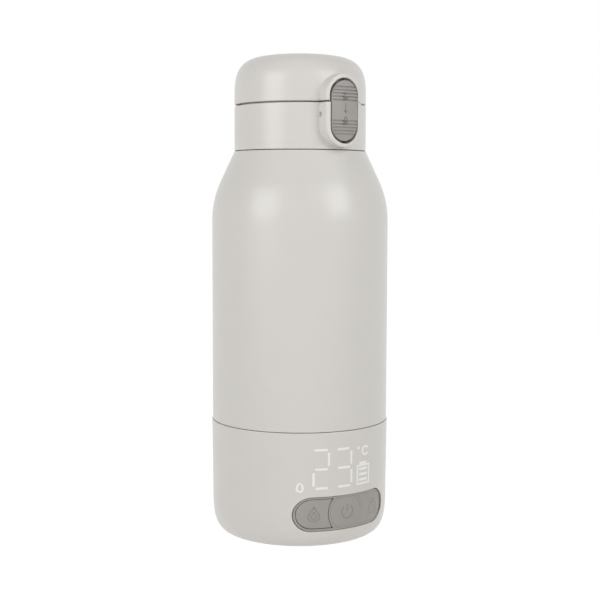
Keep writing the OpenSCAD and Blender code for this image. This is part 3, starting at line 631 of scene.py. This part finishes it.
# %% [markdown]
# Round the keys runs the rim of the bezel, and a thin web stands between each pair of keys. The rim is a
# ring of loops over a rounded section; the webs are narrow plates, so both catch a fine line of light.

# %% Bezel
def dense(outline, step=1.2):
    fine = []
    for index, start in enumerate(outline):
        a = Vector(start)
        b = Vector(outline[(index + 1) % len(outline)])
        count = max(1, math.ceil((b - a).length / step))
        fine += [a.lerp(b, k / count) for k in range(count)]
    return [(p.x, p.y) for p in fine]


def ring_of_loops(drawing, outline, medial, loops, closed=False):
    previous = None
    first = None
    for offset, spot in loops:
        loop = []
        for x, z in outline:
            centre = medial(x, z)
            away = (Vector((x, z)) - centre).normalized()
            loop.append(drawing.verts.new(spot(x + away.x * offset, z + away.y * offset)))
        if previous:
            stitch(drawing, previous, loop)
        previous = loop
        first = first or loop
    if closed:
        stitch(drawing, previous, first)


def pad_medial(x, z):
    end = (pad_w - pad_h) / 2
    return Vector((max(-end, min(end, x)), pad_z))


def bezel_spot(lift, down):
    lay = key_layer(pad_sink)
    return lambda x, z: lay(x, z - down, lift)


bezel_gap = 0.15
bezel_drop = 0.13
bezel_deep = 2.0
edge_mid = 0.025
edge = [(0, -bezel_deep), (0, -key_edge), (-edge_mid, -edge_mid), (-key_edge, 0), (-0.2, 0)]
loops = [(offset, bezel_spot(lift, bezel_drop)) for offset, lift in edge]
loops += [(bezel_gap - pad_rim - offset, bezel_spot(lift, 0)) for offset, lift in reversed(edge)]
bezel = bmesh.new()
bezel_line = dense(stadium(pad_w - 2 * bezel_gap, pad_h - 2 * bezel_gap, pad_z))
ring_of_loops(bezel, bezel_line, pad_medial, loops, closed=True)
web_half = pad_h / 2 - pad_rim
for side, hollow_at in ((0, -hollow_x), (180, hollow_x)):
    outer = math.degrees(math.asin(web_half / hollow_r))
    inner = math.degrees(math.asin(web_half / power_r))
    band = arc(hollow_at, pad_z, hollow_r, side - outer, side + outer)
    band += arc(0, pad_z, power_r, side + inner, side - inner)
    stripe = plate(band, bezel_deep, key_edge, key_layer(pad_sink), (), key_rows, steps=3)
    bezel = joined(bezel, stripe)
add_piece(bezel, "pad_bezel", "bottle", "pad_grey", ["button_bezel"], base_turn)

# %% [markdown]
# Printed and engraved signs are thin ribbons along a path, a hair above the face. A curve object with a
# flat bevel would do it too, but a ribbon of quads can be laid on any face with the same laying function.

# %% Ribbons
sign_lift = 0.03
ribbon_step = 0.5
sharpest = 0.6


def ribbon(drawing, path, width, lay, closed=False):
    points = [Vector(p) for p in path]
    if closed:
        points.append(points[0])
    fine = [points[0]]
    for a, b in zip(points, points[1:]):
        count = max(1, round((b - a).length / ribbon_step))
        fine += [a.lerp(b, (k + 1) / count) for k in range(count)]
    if closed:
        fine.pop()
    count = len(fine)
    rails = []
    for k, here in enumerate(fine):
        before = fine[k - 1] if closed or k else here
        after = fine[(k + 1) % count] if closed or k + 1 < count else here
        along = ((here - before).normalized() + (after - here).normalized()).normalized()
        ahead = (after - here).normalized() if after != here else along
        side = Vector((-along.y, along.x)) * width / 2 / max(sharpest, along.dot(ahead))
        rails.append([drawing.verts.new(lay(p.x, p.y, sign_lift)) for p in (here + side, here - side)])
    for k in range(count if closed else count - 1):
        a = rails[k]
        b = rails[(k + 1) % count]
        drawing.faces.new((a[0], a[1], b[1], b[0]))


def drop(cx, cz, width, height, point):
    turns = [2 * math.pi * k / 32 for k in range(32)]
    bulge = [math.sin(t) * math.sin(t / 2) ** point for t in turns]
    half = width / 2 / max(bulge)
    return [(cx + half * b, cz + height / 2 * math.cos(t)) for b, t in zip(bulge, turns)]


print("signs lie", sign_lift, "mm above their face")

# %% [markdown]
# The display is light that shines through the wall of the base: two digits, the degree sign with its
# letter, a battery and a drop. Each stroke is a ribbon with the lit finish, which glows a little.

# %% Lit signs
digit_mid = 33.95
digit_h = 15.3
stroke = 0.95
top = digit_mid + digit_h / 2
foot = digit_mid - digit_h / 2
bar_gap = 1.1
cell_z = digit_mid - 8.1
cell_x0 = 4.9
cell_x1 = 11.5
cell_low = cell_z + 0.3
cell_high = cell_z + 7.8
charge = 1.15
thin = 0.8
lit = bmesh.new()
for x0, x1, z in ((-14.25, -9.05, top + 0.1), (-13.9, -9.0, digit_mid - 0.1),
                  (-13.75, -8.9, foot - 0.2), (-4.9, 0.6, top), (-4.5, 1.1, digit_mid), (-4.4, 1.2, foot)):
    ribbon(lit, [(x0, z), (x1, z)], stroke, on_base)
for x, z in ((-8.5, top), (-14.5, digit_mid - 0.4), (1.65, top), (1.8, digit_mid)):
    ribbon(lit, [(x, z - bar_gap), (x, z - digit_h / 2 + bar_gap)], stroke, on_base)
cell = [(cell_x0, cell_low), (cell_x1, cell_low), (cell_x1, cell_high), (cell_x0, cell_high)]
ribbon(lit, cell, thin, on_base, closed=True)
ribbon(lit, [(5.95, cell_z + 8.8), (10.0, cell_z + 8.8)], charge, on_base)
for k in range(3):
    z = cell_z + 1.95 + 2.2 * k
    ribbon(lit, [(5.8, z), (10.45, z)], charge, on_base)
ribbon(lit, arc(5.45, digit_mid + 7.1, 0.45, 0, 330, 11), 0.5, on_base, closed=True)
ribbon(lit, arc(9.25, digit_mid + 5.65, 1.7, 32, 328), thin, on_base)
ribbon(lit, drop(-19.4, digit_mid - 7.3, 2.05, 3.5, 0.45), 0.7, on_base, closed=True)
add_piece(lit, "lit_signs", "bottle", "lit", ["display_segments"], base_turn)

# %% [markdown]
# The signs on the keys are engraved: a drop inside a drop for water, the ring and bar of a power key, and a
# small bottle. Darker ribbons on the key faces paint the shade of the shallow engraving, and each rides with
# its key.

# %% Key signs
on_side = key_layer(side_sink)
on_power = key_layer(pad_sink)
water_x = -14.1
power_x = 0.43
drop_point = 1.3
sign = bmesh.new()
ribbon(sign, drop(water_x, 15.3, 4.4, 5.7, drop_point), 0.55, on_side, closed=True)
ribbon(sign, drop(water_x, 14.8, 2.0, 2.7, drop_point), 0.4, on_side, closed=True)
# The mark finish on this sign is painted shade of its engraving.
add_piece(sign, "water_sign", "water_key", "button_grey", (), base_turn, "mark")
sign = bmesh.new()
ribbon(sign, arc(power_x, 15.35, 2.7, 128, 412, 30), 0.7, on_power)
ribbon(sign, [(power_x, 15.55), (power_x, 18.55)], 0.8, on_power)
# The mark finish on this sign is painted shade of its engraving.
add_piece(sign, "power_sign", "power_key", "button_grey", (), base_turn, "mark")
sign = bmesh.new()
flask = [(13.0, 12.2), (17.8, 12.2), (17.8, 15.5), (16.8, 16.5), (14.0, 16.5), (13.0, 15.5)]
ribbon(sign, flask, 0.45, on_power, closed=True)
ribbon(sign, [(13.8, 16.95), (17.0, 16.95)], 0.5, on_power)
ribbon(sign, [(14.7, 17.3), (14.7, 18.2), (16.1, 18.2), (16.1, 17.3)], 0.4, on_power)
for k in range(3):
    z = 13.3 + 0.8 * k
    ribbon(sign, [(16.1, z), (17.3, z)], 0.3, on_power)
# The faint mark finish on this sign is painted shade of its engraving.
add_piece(sign, "bottle_sign", "bottle_key", "button_grey", (), base_turn, "faint_engraving_shade")

# %% [markdown]
# Where a hole is plain and hidden, such as the slot for the latch or the room for a hinge, a Boolean is
# quick and good enough. This helper carves one drawing out of another with the modifier's exact solver.
# Cutters are rods and prisms, and the same prism with rounded ends also makes the hinge pieces.

# %% Carving
rod_sides = 48


def as_object(drawing):
    mesh = bpy.data.meshes.new("blank")
    drawing.to_mesh(mesh)
    drawing.free()
    blank = bpy.data.objects.new("blank", mesh)
    bpy.context.scene.collection.objects.link(blank)
    return blank


def carved(drawing, *cutters):
    block = as_object(drawing)
    tools = [as_object(cutter) for cutter in cutters]
    for tool in tools:
        cut = block.modifiers.new("cut", "BOOLEAN")
        cut.operation = "DIFFERENCE"
        cut.solver = "EXACT"
        cut.object = tool
    result = bmesh.new()
    result.from_object(block, bpy.context.evaluated_depsgraph_get())
    for blank in [block] + tools:
        bpy.data.objects.remove(blank)
    return result


def prism(outline, start, end, soft=0.0, axis="x"):
    drawing = bmesh.new()
    near, far = [[drawing.verts.new((at, a, b) if axis == "x" else (a, at, b)) for a, b in outline]
                 for at in (start, end)]
    stitch(drawing, near, far)
    ends = [drawing.faces.new(near), drawing.faces.new(far)]
    bmesh.ops.recalc_face_normals(drawing, faces=drawing.faces[:])
    if soft:
        edges = [edge for face in ends for edge in face.edges]
        bmesh.ops.bevel(drawing, geom=edges, offset=soft, segments=3, profile=0.5, affect="EDGES")
    return drawing


def oblong(y0, y1, z0, z1):
    return [(y0, z0), (y1, z0), (y1, z1), (y0, z1)]


def rod(radius, y, z, x0, x1):
    return prism(arc(y, z, radius, 0, 360 - 360 / rod_sides, rod_sides - 1), x0, x1)


print("sides of a rod:", rod_sides)

# %% [markdown]
# The cap is a dome with a broad, square shoulder and a slight crown. Like the corner of the base it is a
# superellipse. It is turned as a closed shell with its inner face, because the cap opens and shows it.

# %% Cap dome
cap_z0 = 180.55
cap_corner_z = 181.9
cap_reach = 14.2
cap_rise = 16.5
cap_power = 3.55
cap_crown = 2.9
cap_wall = 2.1
catch_z0 = 184.8
catch_z1 = 187.0
catch_half = 3.6
hinge_y = 28.5
hinge_z = 180.3
hinge_gap = 0.3
leaf_half = 7.2
knuckle_x0 = leaf_half + hinge_gap
knuckle_x1 = 11.5
room_r = 3.35


def dome_point(turn, wall=0.0):
    r = lid_r - cap_reach + (cap_reach - wall) * max(0, math.cos(turn)) ** (2 / cap_power)
    rise = (cap_rise - wall) * math.sin(turn) ** (2 / cap_power)
    return r, cap_corner_z + rise + cap_crown * (1 - (r / lid_r) ** 2)


def dome_path(wall, steps=44):
    rim = lid_r - cap_reach
    top = dome_point(math.pi / 2, wall)[1] - cap_crown * (1 - (rim / lid_r) ** 2)
    path = [dome_point(math.pi / 2 * (k / steps), wall) for k in range(1, steps + 1)]
    return path + [(r, top + cap_crown * (1 - (r / lid_r) ** 2)) for r in (11, 8, 5, 2.5, 0)]


outer = softened([(lid_r - cap_wall, cap_z0 + 0.4, 0), (lid_r - cap_wall, cap_z0, 0.15),
                  (lid_r, cap_z0, 0.4), (lid_r, cap_corner_z, 0)])
cap = bmesh.new()
lathe(cap, list(reversed(dome_path(cap_wall))) + outer + dome_path(0))
catch = prism(oblong(-28.5, -24.4, catch_z0, catch_z1), -catch_half, catch_half)
rooms = [rod(room_r, hinge_y, hinge_z, side * leaf_half, side * (knuckle_x1 + hinge_gap))
         for side in (-1, 1)]
cap = carved(cap, catch, *rooms)
print("top of the cap:", round(max(vert.co.z for vert in cap.verts), 2))

# %% [markdown]
# The collar is the screwed ring below. Its top edge falls away a little towards the hinge, so that the
# seam of the cap widens there. The latch sits in a window, so the front is cut open along an upright
# oval, and the back makes room for the middle barrel of the hinge.

# %% Collar ring
collar_z0 = 161.55
collar_z1 = 180.05
collar_floor = 162.35
collar_bore = 23.2
collar_inner = 24.6
fall_z = 179
seam_fall = 0.45
window_w = 15.6
window_z0 = 162.7
window_z1 = 190.5


def standing(width, z0, z1):
    return [(-z, x + (z0 + z1) / 2) for x, z in stadium(z1 - z0, width, 0)]


collar = bmesh.new()
profile = softened([(collar_bore, collar_floor, 0), (collar_bore, collar_z0, 0.2),
                    (lid_r, collar_z0, 0.22), (lid_r, collar_z1, 0.4),
                    (collar_inner, collar_z1, 0.2), (collar_inner, collar_floor, 0)])
lathe(collar, profile, closed=True)
for vert in collar.verts:
    if vert.co.z > fall_z:
        vert.co.z -= seam_fall * (vert.co.y + lid_r) / (2 * lid_r)
window = prism(standing(window_w, window_z0, window_z1), -30, -20, axis="y")
collar = carved(collar, window, rod(room_r, hinge_y, hinge_z, -knuckle_x0, knuckle_x0))
print("collar has", len(collar.faces), "faces so far")

# %% [markdown]
# A raised frame round the latch grows out of cap and collar, with a hollow curve at its foot and a soft
# outer edge. One closed ring of loops is drawn for both, following the skin of the lid at the foot and a
# flatter cylinder on the face. Cutting it at the seam gives each half its own, with the same rounded edge.
# The small holes at its sides take the pin of the latch.

# %% Frame of the latch
frame_half = 8.8
frame_z0 = 161.7
frame_z1 = 191.5
face_r = 40.0
face_y = 8.4
seam_soft = 0.4
foot_soft = 0.2
foot_rise = 0.45
edge_soft = 0.5
hole_soft = 0.35
flat_run = 0.2
root_run = 0.6
root_sink = 0.04
pin_r = 0.9
pin_y = -26.8
pin_z = 175.3


def lid_radius(z):
    low = 0.0
    high = math.pi / 2
    if z <= dome_point(0)[1]:
        return lid_r
    for _ in range(40):
        middle = (low + high) / 2
        if dome_point(middle)[1] < z:
            low = middle
        else:
            high = middle
    return dome_point(low)[0]


def on_lid(height):
    return lambda x, z: (x, -math.sqrt(lid_radius(z) ** 2 - x * x) - height, z)


def on_face(depth):
    return lambda x, z: (x, face_y - math.sqrt(face_r**2 - x * x) + depth, z)


def inside_lid(radius):
    return lambda x, z: (x, -math.sqrt(radius**2 - x * x), z)


def frame_medial(x, z):
    return Vector((0, max(frame_z0 + frame_half, min(frame_z1 - frame_half, z))))


def aside(spot, shift):
    return lambda x, z: spot(x + shift, z)


def raised(spot):
    low = frame_z0 + frame_half
    return lambda x, z: spot(x, z + foot_rise * max(0, (low - z) / frame_half))


def latch_frame(back_r, rim, shift):
    quarter = [math.pi / 2 * k / 7 for k in range(8)]
    loops = [(root_run, on_lid(-root_sink))]
    loops += [(foot_soft * (1 - math.sin(a)), on_lid(foot_soft * (1 - math.cos(a)))) for a in quarter]
    loops += [(0, on_lid(foot_soft + flat_run)), (0, on_face(edge_soft + flat_run))]
    loops += [(edge_soft * (math.cos(a) - 1), on_face(edge_soft * (1 - math.sin(a)))) for a in quarter]
    loops += [(-edge_soft - flat_run, on_face(0))]
    loops = [(offset, raised(spot)) for offset, spot in loops] + [(0.5 - rim, on_face(0))]
    hole = [(hole_soft * (1 - math.sin(a)) - rim, on_face(hole_soft * (1 - math.cos(a)))) for a in quarter]
    hole += [(-rim, on_face(0.6)), (-rim, inside_lid(back_r)), (1 - rim, inside_lid(back_r))]
    loops += [(offset, aside(spot, shift)) for offset, spot in hole]
    drawing = bmesh.new()
    outline = dense(standing(2 * frame_half, frame_z0, frame_z1))
    ring_of_loops(drawing, outline, frame_medial, loops, closed=True)
    return drawing


def trimmed(drawing, z, keep_below, soft=seam_soft):
    way = -soft if keep_below else soft
    slices(drawing, "z", [z + way * share for share in (0.05, 0.25, 0.6, 1)])
    everything = drawing.verts[:] + drawing.edges[:] + drawing.faces[:]
    bmesh.ops.bisect_plane(drawing, geom=everything, plane_co=(0, 0, z), plane_no=(0, 0, 1),
                           clear_outer=keep_below, clear_inner=not keep_below)
    drawing.normal_update()
    for vert in drawing.verts:
        depth = abs(vert.co.z - z)
        if depth < soft:
            flat = Vector((vert.normal.x, vert.normal.y, 0)).normalized()
            vert.co -= flat * (soft - math.sqrt(soft**2 - (soft - depth) ** 2))
    edges = [edge for edge in drawing.edges if edge.is_boundary]
    bmesh.ops.holes_fill(drawing, edges=edges, sides=0)
    return drawing


upper_frame = trimmed(latch_frame(back_r=27.0, rim=1.8, shift=-0.2), cap_z0, keep_below=False)
lower_frame = trimmed(latch_frame(back_r=24.7, rim=2.0, shift=0.0), collar_z1, keep_below=True)
lower_frame = trimmed(lower_frame, collar_z0, keep_below=False, soft=0.3)
holes = [rod(pin_r, pin_y, pin_z, side * 8.0, side * 11.0) for side in (-1, 1)]
lower_frame = carved(lower_frame, *holes)
print("frame halves have", len(upper_frame.faces), "and", len(lower_frame.faces), "faces")

# %% [markdown]
# Behind, the cap hangs on a barrel with a tapering leaf, between two knuckles of the collar. Each is a
# prism with slightly rounded ends. All are bored for the pin, and the leaf also for the spring that throws
# the cap open. The leaf is thin at its top, so its rounding is smaller, or its two sides would overlap.

# %% Hinge
barrel_r = 3.1
knuckle_soft = 0.55
leaf_soft = 0.3
leaf_z = 189.8
knuckle_z = 170.3
leaf_bore = 1.15
knuckle_bore = 1.12
spring_r = 2.4
spring_half = 5.5


def ramp(start, end, steps=14):
    shares = [k / steps for k in range(steps + 1)]
    return [(start[0] + (end[0] - start[0]) * (1 - math.cos(math.pi * t)) / 2,
             start[1] + (end[1] - start[1]) * t) for t in shares]


tip_y = hinge_y + barrel_r * 0.99
leaf_line = [(25.5, 182.0), (25.5, leaf_z)] + ramp((26.2, leaf_z), (tip_y, cap_z0))
leaf_line += arc(hinge_y, hinge_z, barrel_r, -4, -170, 28)
leaf = prism(leaf_line, -leaf_half, leaf_half, leaf_soft)
leaf = carved(leaf, rod(leaf_bore, hinge_y, hinge_z, -9, 9),
              rod(spring_r, hinge_y, hinge_z, -spring_half, spring_half))
knuckle_line = [(23.6, collar_z1), (23.6, knuckle_z)] + ramp((25.0, knuckle_z), (tip_y, collar_z1))
knuckle_line += arc(hinge_y, hinge_z, barrel_r, 4, 175, 28)
knuckles = [carved(prism(knuckle_line, side * knuckle_x0, side * knuckle_x1, knuckle_soft),
                   rod(knuckle_bore, hinge_y, hinge_z, side * 7, side * 12)) for side in (-1, 1)]
add_piece(joined(cap, upper_frame, leaf), "cap_skin", "cap", "lid_plastic", ["cap_shell"])
add_piece(joined(collar, lower_frame, *knuckles), "collar_skin", "collar", "lid_plastic", ["collar_shell"])

# %% [markdown]
# The latch is a grey plate that fills the frame. It is pressed at the bottom to open the cap, and slides
# down to lock it. Its lower end leans in a little. Two groups of grooves give grip, so the plate is sliced
# at each groove and sunk there.

# %% Latch plate
slider_half = 6.5
slider_z0 = 164.7
slider_z1 = 188.8
slider_lean = 0.7
lean_z = 173.0
slider_x = 0.18
slider_sink = 0.25
slider_thick = 1.68
slider_rim = 0.35
groove_half = 6.1
groove_deep = 0.45
groove_step = 1.3
grooves = [start - groove_step * k for start in (186.1, 172.7) for k in range(5)]


def on_slider(x, z, lift):
    lean = slider_lean * max(0, (lean_z - z) / (lean_z - slider_z0)) ** 1.5
    r = face_r - slider_sink + min(0.2, lift) - lean * (1 + lift / slider_thick)
    return Vector((x + slider_x, face_y - math.sqrt(r * r - x * x), z))


def groove_dent(x, z):
    near = min(abs(z - groove) for groove in grooves)
    if near > 0.25 or abs(x) > groove_half - 0.1:
        return 0
    return -groove_deep


cuts_z = [groove + d for groove in grooves for d in (-0.3, -0.2, 0.2, 0.3)]
cuts_x = [-groove_half, -groove_half + 0.2, groove_half - 0.2, groove_half]
cuts_x += [1.2 * k for k in range(-4, 5)]
slider_line = standing(2 * slider_half, slider_z0, slider_z1)
slider = plate(slider_line, slider_thick, slider_rim, on_slider, cuts_x, cuts_z, groove_dent)
stem = prism(oblong(-30.3, -28.5, 174.2, 181.2), -1.6, 1.6)
add_piece(joined(slider, stem), "latch_plate", "lock", "latch_grey", ["latch_slider"])

# %% [markdown]
# Small signs tell how the lock works: an open padlock above, an arrow, and a closed padlock below. They are
# the same ribbons as on the keys, whose dark finish paints the shade of their engraving, and move with the
# plate.

# %% Lock signs
lock_w = 2.3
arrow_w = 0.32


def padlock(drawing, low, shackle_end):
    side = lock_w * 0.27
    top = low + lock_w * 0.65
    rise = lock_w * 0.28
    ribbon(drawing, [(0, low), (0, top)], lock_w * 0.9, on_slider)
    shackle = [(-side, top - 0.1), (-side, top + rise)] + arc(0, top + rise, side, 180, 0, 10)
    shackle += [(side, top + rise - shackle_end)]
    ribbon(drawing, shackle, lock_w * 0.16, on_slider)


sign = bmesh.new()
padlock(sign, 181.0, 0.0)
padlock(sign, 171.4, 0.7)
ribbon(sign, [(0, 179.6), (0, 176.0)], arrow_w, on_slider)
ribbon(sign, [(-0.75, 176.8), (0, 175.9), (0.75, 176.8)], arrow_w, on_slider)
# The dark lock mark finish is painted shade of the engraved signs.
add_piece(sign, "lock_signs", "lock", "latch_grey", (), 0.0, "lock_engraving_shade")

# %% [markdown]
# The cover of the charging socket is a soft flap at the back. Its free end is round, with a small ridge for
# a finger nail, and the other end is moulded to a bead that swings in the recess.

# %% Socket cover
cover_half = 3.2
cover_thick = 1.22
cover_rim = 0.3
cover_sink = 0.08
cover_edge = 0.5
bead_x = 6.35
bead_y = -35.52
bead_r = 0.65
bead_half = 2.2
ridge_r = 1.9
ridge_half = 0.25
ridge_high = 0.3
flap_line = arc(cover_end, port_z, cover_half, 90, 270)
flap_line += [(bead_x, port_z - cover_half), (bead_x, port_z + cover_half)]


def flap_layer(x, z, lift):
    front = on_base(x, z, max(lift, -cover_edge) - cover_sink)
    return front + Vector((0, max(0, -cover_edge - lift), 0))


def nail_ridge(x, z):
    if x >= cover_end:
        return 0
    away = math.hypot(x - cover_end, z - port_z) - ridge_r
    return ridge_high * math.exp(-(away / ridge_half) ** 2)


cuts_x = [-6.2 + 0.2 * k for k in range(13)] + list(range(-3, 6))
cuts_z = [port_z + 0.25 * k for k in range(-10, 11)]
flap = plate(flap_line, cover_thick, cover_rim, flap_layer, cuts_x, cuts_z, nail_ridge)
bead = prism(arc(bead_x, bead_y, bead_r, 0, 345, 23), port_z - bead_half, port_z + bead_half, 0.15)
bead.transform(Matrix(((0, 1, 0, 0), (0, 0, 1, 0), (1, 0, 0, 0), (0, 0, 0, 1))))
flap = joined(flap, bead)
add_piece(flap, "socket_flap", "port_flap", "grey_silicone", ["port_cover"], base_turn + math.pi)

# %% [markdown]
# A product photograph of this kind is taken in a white room. A world of full white would do, but it would
# wash out the shape. So the world lights the object weakly, and is white only where it is seen directly.

# %% White room
scene = bpy.context.scene
scene.view_settings.view_transform = "Standard"


def seen_directly(tree):
    rays = tree.nodes.new("ShaderNodeLightPath")
    seen = rays.outputs["Is Camera Ray"]
    for kind in ("Is Glossy Ray", "Is Transmission Ray"):
        either = tree.nodes.new("ShaderNodeMath")
        either.operation = "MAXIMUM"
        tree.links.new(seen, either.inputs[0])
        tree.links.new(rays.outputs[kind], either.inputs[1])
        seen = either.outputs["Value"]
    return seen


world = bpy.data.worlds.new("white room")
world.use_nodes = True
scene.world = world
tree = world.node_tree
room = tree.nodes["Background"]
fill(room, {"Color": (1.0, 0.995, 0.985, 1), "Strength": 0.32})
wall = tree.nodes.new("ShaderNodeBackground")
fill(wall, {"Color": (1, 1, 1, 1), "Strength": 1.0})
pick = tree.nodes.new("ShaderNodeMixShader")
tree.links.new(seen_directly(tree), pick.inputs["Fac"])
tree.links.new(room.outputs["Background"], pick.inputs[1])
tree.links.new(wall.outputs["Background"], pick.inputs[2])
tree.links.new(pick.outputs["Shader"], tree.nodes["World Output"].inputs["Surface"])
print("the room lights at", round(room.inputs["Strength"].default_value, 2))

# %% [markdown]
# Two soft boxes leave an upright band each on the turned shells, left and right of the middle. An area light
# gives such a band its width. A weak third box overhead lifts the top of the cap.

# %% Soft boxes
def soft_box(name, azimuth, elevation, distance, width, height, power):
    a = math.radians(azimuth)
    e = math.radians(elevation)
    lamp = bpy.data.lights.new(name, "AREA")
    lamp.shape = "RECTANGLE"
    lamp.size = width
    lamp.size_y = height
    lamp.energy = power
    box = bpy.data.objects.new(name, lamp)
    aim = Vector((math.sin(a) * math.cos(e), -math.cos(a) * math.cos(e), math.sin(e)))
    box.location = Vector((0, 0, 0.11)) + aim * distance
    box.rotation_euler = aim.to_track_quat("Z", "Y").to_euler()
    scene.collection.objects.link(box)


soft_box("left box", -82, 19, 0.85, 0.5, 0.5, 3.08)
soft_box("right box", 17, 24, 0.85, 0.45, 0.5, 2.98)
soft_box("top box", -35, 78, 0.9, 0.6, 0.6, 0.35)

# %% [markdown]
# The floor is a sheet of white paper. Lit paper comes out greyer than the room, so it glows where it is seen
# directly. A share of its plain shading stays, and keeps the shadow of the object.

# %% Floor
floor_mesh = bpy.data.meshes.new("floor")
reach = 6.0
corners = [(-reach, -reach, 0), (reach, -reach, 0), (reach, reach, 0), (-reach, reach, 0)]
floor_mesh.from_pydata(corners, [], [(0, 1, 2, 3)])
floor = bpy.data.objects.new("floor", floor_mesh)
scene.collection.objects.link(floor)
paper = bpy.data.materials.new("paper")
paper.use_nodes = True
tree = paper.node_tree
shader = tree.nodes["Principled BSDF"]
fill(shader, {"Base Color": (0.8, 0.8, 0.8, 1), "Roughness": 0.9, "Specular IOR Level": 0.1,
              "Emission Color": (1, 1, 1, 1), "Emission Strength": 0.17})
glow = tree.nodes.new("ShaderNodeEmission")
fill(glow, {"Strength": 1.09})
share = tree.nodes.new("ShaderNodeMath")
share.operation = "MULTIPLY"
share.inputs[1].default_value = 0.88
blend = tree.nodes.new("ShaderNodeMixShader")
tree.links.new(seen_directly(tree), share.inputs[0])
tree.links.new(share.outputs["Value"], blend.inputs["Fac"])
tree.links.new(shader.outputs["BSDF"], blend.inputs[1])
tree.links.new(glow.outputs["Emission"], blend.inputs[2])
tree.links.new(blend.outputs["Shader"], tree.nodes["Material Output"].inputs["Surface"])
floor_mesh.materials.append(paper)
print("the floor reaches", reach, "m to each side")

# %% [markdown]
# The camera looks a little down through a long lens, which keeps lines upright. Its place was fitted to the
# seams and edges of the photograph.

# %% Camera
lens = bpy.data.cameras.new("camera")
lens.lens = 72.25
lens.sensor_width = 36
camera = bpy.data.objects.new("camera", lens)
look = math.radians(-35)
look_down = math.radians(90 - 5.04)
roll = math.radians(-0.13)
away = 0.510
camera.location = (away * math.sin(look), -away * math.cos(look), 0.1437)
camera.rotation_euler = (look_down, roll, look)
scene.collection.objects.link(camera)
scene.camera = camera
print("camera stands at", [round(c, 3) for c in camera.location])
